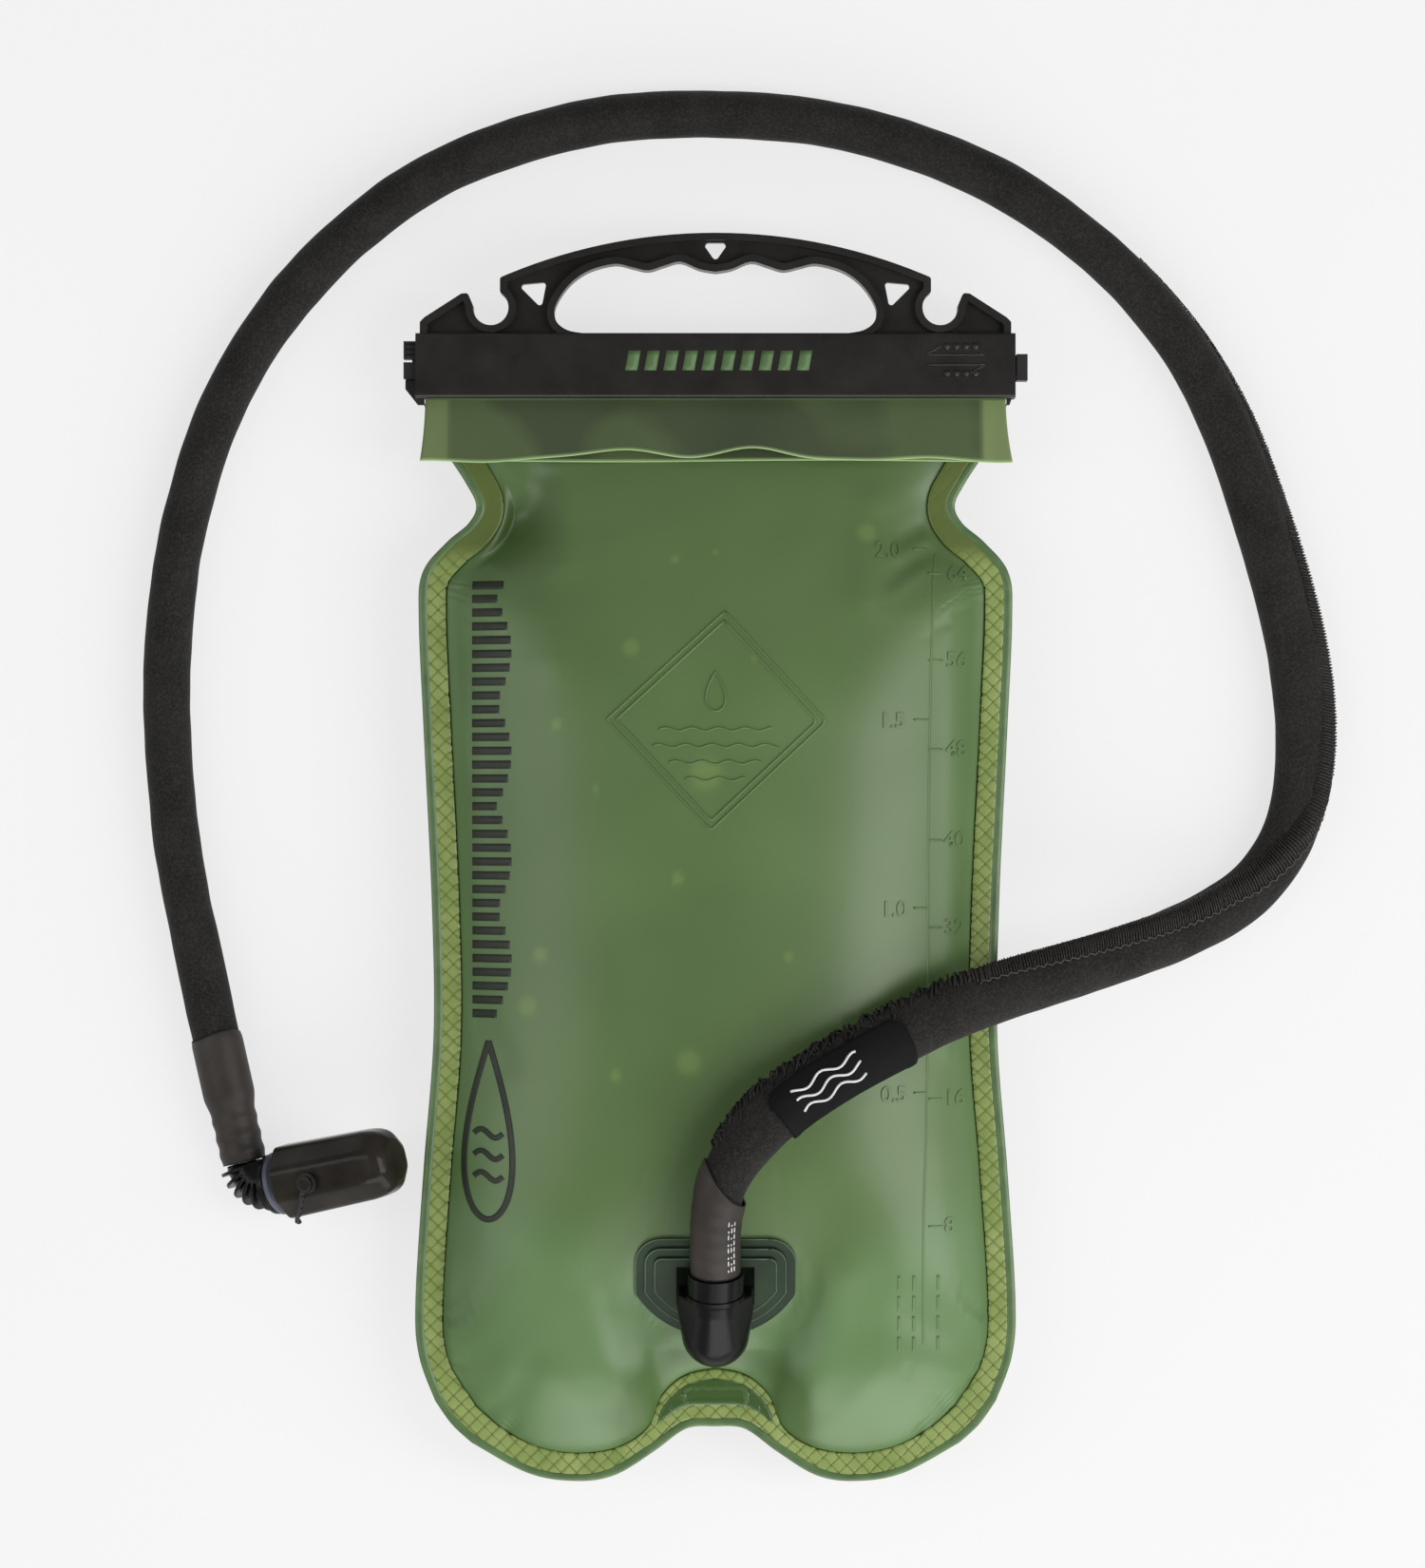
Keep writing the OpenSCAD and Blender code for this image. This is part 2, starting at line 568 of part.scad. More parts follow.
module valve_core() {
  stem_r = 1.5;
  head_r = 2.3;
  color([0.15, 0.15, 0.15])
  valve_place() {
    // A spider pressed into the elbow's bore carries the stem and its sealing head.
    difference() {
      tube_x(5.6, hose_stub, valve_bore_r, stem_r);
      for (a = [0, 120, 240])
        rotate([a, 0, 0]) translate([5, 1.7, -0.6]) cube([4, 2, 1.2]);
    }
    translate([5.6, 0, 0]) rotate([0, 90, 0]) cylinder(r = stem_r, h = 16);
    translate([20, 0, 0]) rotate([0, 90, 0]) cylinder(r = head_r, h = 1.6);
  }
}
module valve_gasket() {
  r = 9.7;
  edge = 0.8;
  color([0.3, 0.31, 0.36])
  valve_place() translate([gasket_x[0], 0, 0]) rotate([0, 90, 0])
  rotate_extrude() difference() {
    translate([6.2, 0]) square([r - 6.2, gasket_x[1] - gasket_x[0]]);
    for (z = [0, gasket_x[1] - gasket_x[0]])
      translate([r, z]) rotate(45) square(edge * sqrt(2), center = true);
  }
}
nozzle_end = 26;
nozzle_r = 5;
groove_x = 10.4;
module valve_nozzle() {
  bore_r = 2.6;
  color([0.12, 0.12, 0.12])
  valve_place() difference() {
    union() {
      tube_x(8.4, nozzle_x + 1, journal_r, bore_r);
      tube_x(nozzle_x, nozzle_x + 1.4, 8, bore_r);
      tube_x(nozzle_x + 1, nozzle_end, nozzle_r, bore_r);
    }
    translate([groove_x, 0, 0]) rotate([0, 90, 0]) rotate_extrude()
    translate([3.25, -0.65]) square([3, 1.3]);
  }
}
module nozzle_o_ring() {
  color([0.08, 0.08, 0.08])
  valve_place() translate([groove_x, 0, 0]) rotate([0, 90, 0])
  rotate_extrude() translate([3.86, 0]) circle(0.6, $fn = 24);
}
module bite_mouthpiece() {
  base_x = nozzle_x + 1.4;
  tip_x = 44;
  color([0.55, 0.6, 0.62])
  valve_place() difference() {
    hull() {
      translate([base_x, 0, 0]) rotate([0, 90, 0]) cylinder(r = 7.2, h = 9, $fn = 32);
      translate([tip_x - 9, 0, 0]) rotate([0, 90, 0]) scale([0.62, 1, 1]) cylinder(r = 8, h = 9, $fn = 32);
    }
    translate([base_x - 1, 0, 0]) rotate([0, 90, 0]) cylinder(r = nozzle_r, h = nozzle_end - base_x + 1);
    translate([base_x, 0, 0]) rotate([0, 90, 0]) cylinder(r = 3.4, h = tip_x - base_x - 3);
    translate([tip_x - 5, -4.5, -0.25]) cube([8, 9, 0.5]);
  }
}
// Octagonal cap, drawn in to a rounded end. grow is negative for the cavity.
// Rounded end of the cap: distance before the tip, and loss of width there.
cap_end = [[9, 1.2], [6.5, 1.7], [4.6, 2.5], [3, 3.7], [1.8, 5.2], [0.9, 7.2], [0.2, 10]];
module cap_form(grow) {
  soft = 3.5;
  module slice(x, across) translate([x, 0, 0]) rotate([0, 90, 0])
    linear_extrude(0.2)
    offset(soft + grow, $fn = 24) rotate(22.5) circle((across / 2 - soft) / cos(22.5), $fn = 8);
  hull() {
    slice(cap_x, cap_w);
    for (e = cap_end) slice(cap_x + cap_l - e[0] + grow, cap_w - e[1]);
  }
}
peg_at = [27, -1, 11];
module dust_cap() {
  color([0.14, 0.13, 0.12])
  valve_place() {
    difference() {
      cap_form(0);
      cap_form(-cap_wall);
      translate([cap_x - 1, 0, 0]) rotate([0, 90, 0]) cylinder(r = 10, h = 3);
    }
    translate(peg_at - [0, 0, 0.6]) cylinder(r = 1.5, h = 3.2, $fn = 24);
    translate(peg_at + [0, 0, 2.4]) cylinder(r = 2.3, h = 0.9, $fn = 24);
  }
}
module cap_tether() {
  ring_x = 12.5;
  strap_r = 12.9;
  // Angle round the cap and place along it of each bend of the strap.
  bends = [[188, 12.9], [166, 15.5], [142, 19], [118, 23], [104, 25]];
  function bend(b) = [b[1], strap_r * cos(b[0]), strap_r * sin(b[0])];
  color([0.1, 0.1, 0.1])
  valve_place() {
    tube_x(ring_x, ring_x + 0.8, 9.2, 6.3);
    hull() {
      translate([ring_x + 0.4, -8.6, -1.2]) cube([0.8, 0.6, 3], center = true);
      translate(bend(bends[0])) sphere(0.5, $fn = 12);
    }
    for (k = [0:len(bends) - 2])
      hull() {
        translate(bend(bends[k])) sphere(0.5, $fn = 12);
        translate(bend(bends[k + 1])) sphere(0.5, $fn = 12);
      }
    translate([peg_at[0], peg_at[1], 12.2]) difference() {
      cylinder(r = 3.1, h = 0.9);
      translate([0, 0, -1]) cylinder(r = 1.9, h = 3);
    }
  }
}

front_film();
back_film();
fold_rail();
neck_rail();
slide_lock();
port_flange();
port_socket();
elbow_o_rings();
port_elbow();
hose_collar();
drink_tube();
insulating_sleeve();
sleeve_label();
port_shrink_sleeve();
valve_shrink_sleeve();
valve_elbow();
valve_core();
valve_gasket();
valve_nozzle();
nozzle_o_ring();
bite_mouthpiece();
dust_cap();
cap_tether();
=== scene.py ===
import math

import bmesh
import bpy
import numpy as np
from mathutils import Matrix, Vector, noise
from mathutils.bvhtree import BVHTree


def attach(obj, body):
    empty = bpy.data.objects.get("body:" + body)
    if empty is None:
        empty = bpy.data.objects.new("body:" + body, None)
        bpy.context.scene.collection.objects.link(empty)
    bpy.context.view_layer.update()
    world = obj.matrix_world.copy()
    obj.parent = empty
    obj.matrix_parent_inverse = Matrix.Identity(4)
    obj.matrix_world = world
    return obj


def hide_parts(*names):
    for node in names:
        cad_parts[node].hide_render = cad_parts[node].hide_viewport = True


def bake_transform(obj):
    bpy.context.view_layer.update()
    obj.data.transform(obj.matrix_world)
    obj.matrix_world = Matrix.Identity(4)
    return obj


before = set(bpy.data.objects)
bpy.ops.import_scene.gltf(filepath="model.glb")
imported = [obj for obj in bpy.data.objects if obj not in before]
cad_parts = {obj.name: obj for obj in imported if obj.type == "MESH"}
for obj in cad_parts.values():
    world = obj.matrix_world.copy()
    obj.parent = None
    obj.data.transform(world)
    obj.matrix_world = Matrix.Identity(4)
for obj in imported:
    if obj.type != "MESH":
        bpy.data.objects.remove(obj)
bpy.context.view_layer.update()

MM = 0.001
rng = np.random.default_rng(7)

# ---------------------------------------------------------------- camera and hose first
SENSOR = 36.0
VIEW_CENTRE = (-0.9, 22.0)
CAMERA_HEIGHT = 2000.0
SEAM_Z = 20.0
VIEW_WIDTH = 435.0  # width of the view at the height of the bag's seam


def put(name, data):
    """A new object in the scene."""
    obj = bpy.data.objects.new(name, data)
    bpy.context.scene.collection.objects.link(obj)
    return obj


def make_camera():
    """The camera, straight above the bag."""
    cam = bpy.data.cameras.new("camera")
    cam.sensor_fit = "HORIZONTAL"
    cam.sensor_width = SENSOR
    cam.lens = SENSOR * (CAMERA_HEIGHT - SEAM_Z) / VIEW_WIDTH
    cam.clip_start = 0.05
    obj = put("camera", cam)
    obj.location = (VIEW_CENTRE[0] * MM, VIEW_CENTRE[1] * MM, CAMERA_HEIGHT * MM)
    bpy.context.scene.camera = obj


make_camera()

# The hose's centre line, from the port's collar to the valve's elbow, in mm.
HOSE_ROUTE = np.array([
    (0, -125, 47.5), (0, -113, 51.9), (1, -102, 55.5), (4, -94, 57), (11, -84, 57.5),
    (21, -74.5, 56.5), (36, -64.5, 53.5), (53, -55.5, 48.5), (70, -47.5, 42.5), (88, -41, 35),
    (106, -35.5, 26.5), (124, -30, 18.5), (141, -24, 11.8), (156, -16.5, 8.2), (168, -6.5, 7.6),
    (177, 9, 7.6), (180.5, 30, 7.6), (179, 55, 7.6), (174, 79, 7.6), (166, 106, 7.6),
    (156, 134, 7.6), (141, 160, 7.6), (119, 184, 7.6), (90, 205, 7.6), (60, 218, 7.6),
    (30, 225.5, 7.6), (-2, 227.5, 7.6), (-33, 226, 7.6), (-65, 218, 7.6), (-92, 205.5, 7.6),
    (-117, 186, 7.6), (-137, 163, 7.6), (-151, 139, 7.6), (-160, 114, 7.6), (-166, 86, 7.6),
    (-168.5, 50, 7.6), (-165.5, 5, 7.6), (-158, -34, 8.2), (-150.5, -68, 8.8),
    (-144.5, -94, 9.5)])


def curve_at(points, t):
    """Points of the Catmull-Rom curve through points, at t counted in points."""
    points = np.asarray(points, float)
    t = np.atleast_1d(np.asarray(t, float))
    last = len(points) - 1
    i = np.clip(np.floor(t).astype(int), 0, last - 1)
    f = (t - i)[:, None]
    a, b = points[np.clip(i - 1, 0, last)], points[i]
    c, d = points[i + 1], points[np.clip(i + 2, 0, last)]
    return 0.5 * (2 * b + (c - a) * f + (2 * a - 5 * b + 4 * c - d) * f ** 2
                  + (3 * b - a - 3 * c + d) * f ** 3)


def unit(v):
    return v / np.linalg.norm(v, axis=-1, keepdims=True)


class Line:
    """The hose's centre line in mm, read by distance from the collar."""

    def __init__(self):
        self.p = curve_at(HOSE_ROUTE, np.linspace(0, len(HOSE_ROUTE) - 1, 4000))
        steps = np.linalg.norm(np.diff(self.p, axis=0), axis=1)
        self.s = np.concatenate([[0], np.cumsum(steps)])
        self.length = self.s[-1]

    def place(self, s):
        return np.stack([np.interp(s, self.s, self.p[:, k]) for k in range(3)], -1)

    def at(self, s):
        """Point, side and up at distances s; past an end the line runs on straight."""
        s = np.asarray(s, float)
        here = np.clip(s, 0, self.length)
        reach = 2.0
        back = np.clip(here - reach, 0, None)
        on = np.clip(here + reach, None, self.length)
        d = unit(self.place(on) - self.place(back))
        side = unit(np.cross(d, (0.0, 0.0, 1.0)))
        return self.place(here) + (s - here)[..., None] * d, side, np.cross(side, d)


hose_line = Line()


def round_hose(s, angle, r):
    """Points r from the hose's middle, at distances s along it and degrees round it, 90 on top."""
    p, side, up = hose_line.at(s)
    turn = np.radians(angle)[..., None]
    return p + np.asarray(r)[..., None] * (np.cos(turn) * side + np.sin(turn) * up)


# ---------------------------------------------------------------- small tools
def smooth(f):
    f = np.clip(f, 0, 1)
    return f * f * (3 - 2 * f)


def groove(distance, width):
    """A soft pressed line: 1 at no distance, fading over the width."""
    return np.exp(-(distance / width) ** 2)


def add_mesh(name, verts, faces, material, body="root"):
    """A new piece from points in mm; body is None for a piece that is left unattached."""
    me = bpy.data.meshes.new(name)
    me.from_pydata((np.asarray(verts, float) * MM).tolist(), [], faces)
    me.validate()
    bm = bmesh.new()
    bm.from_mesh(me)
    bmesh.ops.recalc_face_normals(bm, faces=bm.faces)
    bm.to_mesh(me)
    bm.free()
    me.polygons.foreach_set("use_smooth", [True] * len(me.polygons))
    me.materials.append(material)
    obj = put(name, me)
    if body:
        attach(obj, body)
    return obj


def grid_faces(rows, cols, start=0, closed=False):
    """Faces of a grid of rows x cols points; closed joins the last column to the first."""
    j, i = np.meshgrid(np.arange(rows - 1), np.arange(cols if closed else cols - 1), indexing="ij")
    n = (i + 1) % cols
    quads = np.stack([j * cols + i, j * cols + n, (j + 1) * cols + n, (j + 1) * cols + i], -1)
    return (quads.reshape(-1, 4) + start).tolist()


def tube_faces(rings, sides):
    """Faces of a tube of rings of points, closed at both ends."""
    last = (rings - 1) * sides
    return grid_faces(rings, sides, closed=True) + [[*range(sides)], [*range(last, last + sides)]]


def closed_sheet(top, low, rows, cols, keep=None):
    """A closed sheet between two grids of rows x cols points, or between those of its faces that
    keep picks: the points, the faces, and each point's number in its grid."""
    quads = np.array(grid_faces(rows, cols))
    if keep is not None:
        quads = quads[keep.ravel()]
    n = rows * cols
    edges = np.concatenate([quads[:, [k, (k + 1) % 4]] for k in range(4)])
    pairs, count = np.unique(np.sort(edges, axis=1), axis=0, return_counts=True)
    rim = {tuple(e) for e in pairs[count == 1]}
    walls = [[b, a, a + n, b + n] for a, b in edges.tolist() if (min(a, b), max(a, b)) in rim]
    used = np.unique(np.concatenate([quads.ravel(), quads.ravel() + n]))
    renumber = np.full(2 * n, -1)
    renumber[used] = np.arange(len(used))
    faces = renumber[np.array(quads.tolist() + (quads[:, ::-1] + n).tolist() + walls)].tolist()
    return np.concatenate([top.reshape(-1, 3), low.reshape(-1, 3)])[used], faces, used % n


def set_values(obj, name, values):
    """A named number on each point, for a material to read."""
    layer = obj.data.attributes.new(name, "FLOAT", "POINT")
    layer.data.foreach_set("value", np.asarray(values, np.float32))


def field(p, size, seed=0):
    """Smooth noise, about -1..1, at points p in mm, with features of that size."""
    return np.array([noise.noise(Vector((x / size + seed, y / size - seed, z / size)))
                     for x, y, z in np.asarray(p, float).reshape(-1, 3)])


# ---------------------------------------------------------------- materials
def srgb(*rgb):
    """A colour given as 0..255 screen values, as the linear colour that nodes use."""
    c = np.array(rgb) / 255.0
    c = np.where(c <= 0.04045, c / 12.92, ((c + 0.055) / 1.055) ** 2.4)
    return (*[float(x) for x in c], 1.0)


class Shader:
    """A Principled material with the few nodes that these surfaces need."""

    def __init__(self, name, **constants):
        self.mat = bpy.data.materials.new(name)
        self.mat.use_nodes = True
        self.tree = self.mat.node_tree
        self.sockets = self.tree.nodes["Principled BSDF"].inputs
        self.coords = self.add("TexCoord", out="Object")
        for key, value in constants.items():
            name = key.replace("_", " ").title().replace("Ior", "IOR")
            self.sockets[name].default_value = value

    def add(self, kind, feeds=(), out=0, **settings):
        """A new node's output; feeds gives its sockets a constant or another node's output."""
        node = self.tree.nodes.new("ShaderNode" + kind)
        for key, value in settings.items():
            setattr(node, key, value)
        for key, value in dict(feeds).items():
            if isinstance(value, (int, float, tuple)):
                node.inputs[key].default_value = value
            else:
                self.tree.links.new(value, node.inputs[key])
        return node.outputs[out]

    def noise(self, size_mm, detail=3.0, rough=0.55, stretch=(1, 1, 1)):
        place = self.add("Mapping", {"Vector": self.coords, "Scale": stretch})
        return self.add("TexNoise", {"Vector": place, "Scale": 1 / (size_mm * MM), "Detail": detail,
                                     "Roughness": rough}, "Fac")

    def cells(self, size_mm):
        return self.add("TexVoronoi", {"Vector": self.coords, "Scale": 1 / (size_mm * MM)}, "Distance")

    def value(self, name):
        """The mesh's own number of that name, from set_values."""
        return self.add("Attribute", out="Fac", attribute_name=name)

    def ramp(self, source, dark, light, low=0.3, high=0.7):
        """A colour that goes from dark to light as the source goes from low to high."""
        out = self.add("ValToRGB", {"Fac": source}, "Color")
        first, last = out.node.color_ramp.elements
        first.position, first.color = low, srgb(*dark)
        last.position, last.color = high, srgb(*light)
        return out

    def math(self, kind, a, b):
        return self.add("Math", {0: a, 1: b}, operation=kind)

    def mix(self, fac, a, b):
        """Colour a where fac is 0 and b where it is 1."""
        return self.add("Mix", {0: fac, 6: a, 7: b}, 2, data_type="RGBA")

    def paint(self, under, name, share, colour):
        """Lays a colour over another where the named value on the mesh is high."""
        fac = self.value(name)
        if share < 1:
            fac = self.math("MULTIPLY", fac, share)
        return self.mix(fac, under, srgb(*colour))

    def colour(self, source):
        self.tree.links.new(source, self.sockets["Base Color"])

    def rough(self, source, low, high):
        out = self.add("MapRange", {"Value": source, "To Min": low, "To Max": high}, "Result")
        self.tree.links.new(out, self.sockets["Roughness"])

    def bump(self, source, depth_mm):
        """Adds a bump to those that the surface already has."""
        normal = self.sockets["Normal"]
        feeds = {"Height": source, "Strength": 1.0, "Distance": depth_mm * MM}
        if normal.is_linked:
            feeds["Normal"] = normal.links[0].from_socket
        self.tree.links.new(self.add("Bump", feeds, "Normal"), normal)


def film_material():
    """Green film; the flap's doubled layers are darker in patches, its cut edge is pale."""
    m = Shader("film_green", ior=1.45, coat_weight=0.12, coat_roughness=0.3)
    middle = m.ramp(m.noise(70, 2), (78, 102, 58), (90, 114, 67))
    # painted light: lighter, greener film at the sides and foot; the greyer middle ramp is painted
    # shade
    flank_light = m.ramp(m.noise(50, 2), (84, 112, 66), (98, 128, 82))
    body = m.mix(m.value("flank_light"), middle, flank_light)
    # painted shade: darker, more olive film in the hollows and where it turns down to its weld
    painted_shade = m.paint(body, "painted_shade", 0.75, (62, 88, 34))
    spots = m.paint(painted_shade, "spot", 0.28, (132, 156, 84))
    wet = m.ramp(m.noise(42, 2, 0.3, (1, 1.3, 1)), (66, 78, 52), (80, 96, 60), 0.46, 0.54)
    ends = m.paint(wet, "pale", 1, (124, 142, 92))
    flap = m.paint(ends, "rimline", 0.6, (66, 84, 50))
    layer = m.mix(m.value("flap"), spots, flap)
    m.colour(m.paint(layer, "edge", 1, (160, 190, 130)))
    m.rough(m.noise(18, 3), 0.36, 0.46)
    m.bump(m.noise(1.4, 2), 0.02)
    return m.mat


def weld_material():
    """Welded rim: pale yellow-green cells between olive pressed lines, and a grey-green lip."""
    m = Shader("film_weld", ior=1.45, coat_weight=0.2, coat_roughness=0.25)
    fresh = m.ramp(m.noise(9, 3), (118, 138, 72), (141, 157, 93))
    cell = m.paint(fresh, "neck", 1, (86, 101, 48))
    line = m.paint(cell, "line", 1, (90, 102, 36))
    lip = m.ramp(m.noise(6, 2), (74, 100, 60), (90, 116, 72))
    body = m.mix(m.value("lip"), line, lip)
    m.colour(m.paint(body, "tab", 1, (56, 84, 36)))
    m.rough(m.noise(5, 2), 0.3, 0.45)
    m.bump(m.noise(0.8, 2), 0.02)
    return m.mat


def plastic(name, dark, light, rough, grain_mm=0.35, depth=0.02, gloss=0.4):
    """Moulded or printed stuff: two near tones, uneven gloss and a fine grain."""
    m = Shader(name, specular_ior_level=gloss)
    m.colour(m.ramp(m.noise(14, 4), dark, light, 0.3, 0.72))
    m.rough(m.noise(6, 3), *rough)
    m.bump(m.noise(grain_mm, 2), depth)
    return m.mat


def neoprene_material():
    """The sleeve's fine knit over foam, with a little fuzz."""
    m = Shader("neoprene_knit", sheen_weight=0.06, sheen_roughness=0.4, specular_ior_level=0.25)
    knit = m.cells(0.8)
    fuzz = m.noise(0.25, 2)
    tone = m.math("ADD", m.math("MULTIPLY", knit, 0.6), m.math("MULTIPLY", m.noise(12, 3), 0.5))
    m.colour(m.ramp(tone, (9, 8, 8), (42, 40, 38), 0.25, 0.8))
    m.rough(fuzz, 0.75, 0.95)
    m.bump(knit, 0.12)
    m.bump(fuzz, 0.05)
    return m.mat


def stitch_material():
    """Slanted threads, and the paler chain along their edge; their lighter tones and the pale chain
    are painted highlight on dark thread.
    """
    m = Shader("seam_stitching", specular_ior_level=0.3)
    twist = m.noise(0.6, 2)
    dark = m.ramp(twist, (24, 22, 20), (66, 61, 56), 0.3, 0.75)
    # painted highlight: the pale chain's light greys stand for sheen on the dark thread
    pale = m.ramp(twist, (56, 54, 50), (94, 91, 85), 0.3, 0.75)
    m.colour(m.mix(m.value("chain"), dark, pale))
    m.rough(m.noise(4, 2), 0.6, 0.8)
    m.bump(twist, 0.05)
    return m.mat


# Name, dark and light tone, roughness, and where they matter grain in mm, its depth and gloss.
film_mat = film_material()
weld_mat = weld_material()
lock_mat = plastic("lock_plastic", (22, 20, 18), (35, 33, 30), (0.3, 0.42), 0.5, 0.03)
rail_mat = plastic("rail_plastic", (24, 22, 22), (36, 34, 33), (0.4, 0.55))
port_mat = plastic("port_green", (28, 43, 28), (42, 61, 38), (0.3, 0.42), 0.6, 0.02, 0.2)
# painted highlight: paler, glossier green for the lines along the flange's step edges
port_edge_highlight_mat = plastic("port_green_edge_highlight", (64, 92, 68), (84, 114, 86), (0.3, 0.4), 0.6, 0.01, 0.5)
black_mat = plastic("fitting_black", (10, 10, 10), (18, 18, 17), (0.22, 0.32), 0.6, 0.01, 0.16)
rubber_mat = plastic("seal_rubber", (18, 18, 18), (30, 30, 30), (0.5, 0.65))
tube_mat = plastic("tube_clear", (170, 180, 185), (195, 205, 210), (0.2, 0.3))
gasket_mat = plastic("gasket_grey", (66, 69, 82), (88, 92, 106), (0.42, 0.55))
silicone_mat = plastic("silicone", (120, 130, 134), (150, 158, 160), (0.35, 0.5))
cap_mat = plastic("smoky_cap", (31, 28, 25), (48, 44, 39), (0.15, 0.22), 1.5, 0.01, 0.12)
shrink_mat = plastic("shrink_tube", (38, 33, 31), (56, 50, 46), (0.45, 0.58), 0.6, 0.03, 0.3)
label_mat = plastic("label_fabric", (8, 8, 9), (16, 16, 17), (0.65, 0.8), 0.25, 0.05, 0.14)
white_mat = plastic("white_print", (205, 206, 206), (228, 228, 228), (0.4, 0.55))
ink_mat = plastic("black_print", (26, 30, 20), (40, 46, 32), (0.38, 0.5))
green_ink_mat = plastic("green_print", (72, 100, 58), (86, 116, 70), (0.4, 0.5))
stitch_mat = stitch_material()
thread_mat = plastic("seam_thread", (12, 11, 11), (40, 38, 36), (0.65, 0.8), 0.3, 0.02, 0.25)
neoprene_mat = neoprene_material()

CAD_LOOKS = {
    "fold_rail": rail_mat, "neck_rail": rail_mat, "slide_lock": lock_mat, "port_flange": port_mat,
    "port_socket": port_mat, "elbow_o_rings": rubber_mat, "port_elbow": black_mat,
    "hose_collar": black_mat, "drink_tube": tube_mat, "valve_elbow": black_mat,
    "valve_core": black_mat, "valve_gasket": gasket_mat, "valve_nozzle": black_mat,
    "nozzle_o_ring": rubber_mat, "bite_mouthpiece": silicone_mat, "dust_cap": cap_mat}


def soften_edges(obj):
    """Softened moulded edges on a CAD piece."""
    bevel = obj.modifiers.new("soft_edges", "BEVEL")
    bevel.width = 0.25 * MM
    bevel.segments = 2
    bevel.limit_method = "ANGLE"
    bevel.angle_limit = math.radians(35)
    obj.data.polygons.foreach_set("use_smooth", [True] * len(obj.data.polygons))
    normals = obj.modifiers.new("even_normals", "WEIGHTED_NORMAL")
    normals.keep_sharp = True


def round_form(obj, voxel_mm, rounds):
    """A CAD piece that is smoothly rounded on the real object, such as a moulded elbow."""
    remesh = obj.modifiers.new("even_mesh", "REMESH")
    remesh.mode = "VOXEL"
    remesh.voxel_size = voxel_mm * MM
    remesh.use_smooth_shade = True
    soften = obj.modifiers.new("soft_form", "SMOOTH")
    soften.factor = 0.5
    soften.iterations = rounds


ROUNDED = {"port_elbow": (0.32, 12), "dust_cap": (0.3, 5), "valve_elbow": (0.3, 5)}
for node_name, look in CAD_LOOKS.items():
    cad_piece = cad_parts[node_name]
    cad_piece.data.materials.clear()
    cad_piece.data.materials.append(look)
    if node_name in ROUNDED:
        round_form(cad_piece, *ROUNDED[node_name])
    else:
        soften_edges(cad_piece)

# ---------------------------------------------------------------- hose
RING_ANGLES = np.linspace(0, 360, 44, endpoint=False)
RING = len(RING_ANGLES)
SEAM_START, SEAM_END = 33.0, 470.0


def seam_angle(s):
    """Where the sewn seam lies round the sleeve: 180 is left of the way on, 90 on top."""
    return np.interp(s, [0, 130, 165, 219, 233, 243, 258, 300, 400, 520],
                     [168, 166, 147, 124, 99, 78, 36, 2, -20, -70])


def sleeve_radius(s, angle):
    """Sleeve's radius at distances s and angles: wider where the seam flattens it."""
    loose = smooth((s - 25) / 25) * (1 - smooth((s - 300) / 160))
    side = np.abs(np.cos(np.radians(angle)))
    off = (angle - seam_angle(s) + 180) % 360 - 180
    sewn = smooth((s - SEAM_START) / 12) * (1 - smooth((s - 330) / 140))
    return 7.35 + 1.1 * loose * side ** 1.5 + 1.9 * groove(off, 15.0) * sewn


def make_sleeve():
    """The insulating sleeve, closed at both ends, puckered and flat where it lies on the floor."""
    rows_s = np.arange(0.2, hose_line.length - 20.0, 1.8)
    verts = np.concatenate([round_hose(s, RING_ANGLES, sleeve_radius(s, RING_ANGLES)) for s in rows_s])
    centre = np.repeat(hose_line.at(rows_s)[0], RING, axis=0)
    puckers = 0.22 * field(verts, 9.0, 3) + 0.35 * field(verts, 26.0, 11)
    fade = smooth(np.repeat(rows_s, RING) / 40)
    verts = verts + unit(verts - centre) * (puckers * fade - 0.12)[:, None]
    verts[:, 2] = np.maximum(verts[:, 2], 0.1)
    verts[:, 2] = np.where(verts[:, 1] > 120, np.minimum(verts[:, 2], 15.2), verts[:, 2])
    obj = add_mesh("insulating_sleeve_knit", verts, tube_faces(len(rows_s), RING), neoprene_mat)
    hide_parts("insulating_sleeve")
    return obj


sleeve = make_sleeve()


def tube_between(points, radius, sides=6):
    """Points and faces of a thin closed tube through points in mm."""
    points = np.asarray(points, float)
    d = unit(np.gradient(points, axis=0))
    ref = np.array((0.0, 0.0, 1.0)) if abs(d[:, 2]).mean() < 0.8 else np.array((1.0, 0.0, 0.0))
    a = unit(np.cross(d, ref))
    b = np.cross(d, a)
    turn = np.linspace(0, 2 * math.pi, sides, endpoint=False)
    rings = points[:, None] + radius * (np.cos(turn)[None, :, None] * a[:, None]
                                        + np.sin(turn)[None, :, None] * b[:, None])
    return rings.reshape(-1, 3), tube_faces(len(points), sides)


class Batch:
    """Many small closed shapes gathered into one piece."""

    def __init__(self):
        self.verts, self.faces = [], []

    def add(self, verts, faces):
        start = len(self.verts)
        self.verts.extend(np.asarray(verts, float).tolist())
        self.faces.extend([[i + start for i in f] for f in faces])

    def piece(self, name, material, slot, body="root"):
        return add_mesh(name, self.verts, self.faces, material, body)


def seam_point(s, off, lift):
    """A point on the sleeve's seam, off degrees from its middle."""
    angle = seam_angle(s) + off
    return round_hose(s, angle, sleeve_radius(s, angle) + lift)


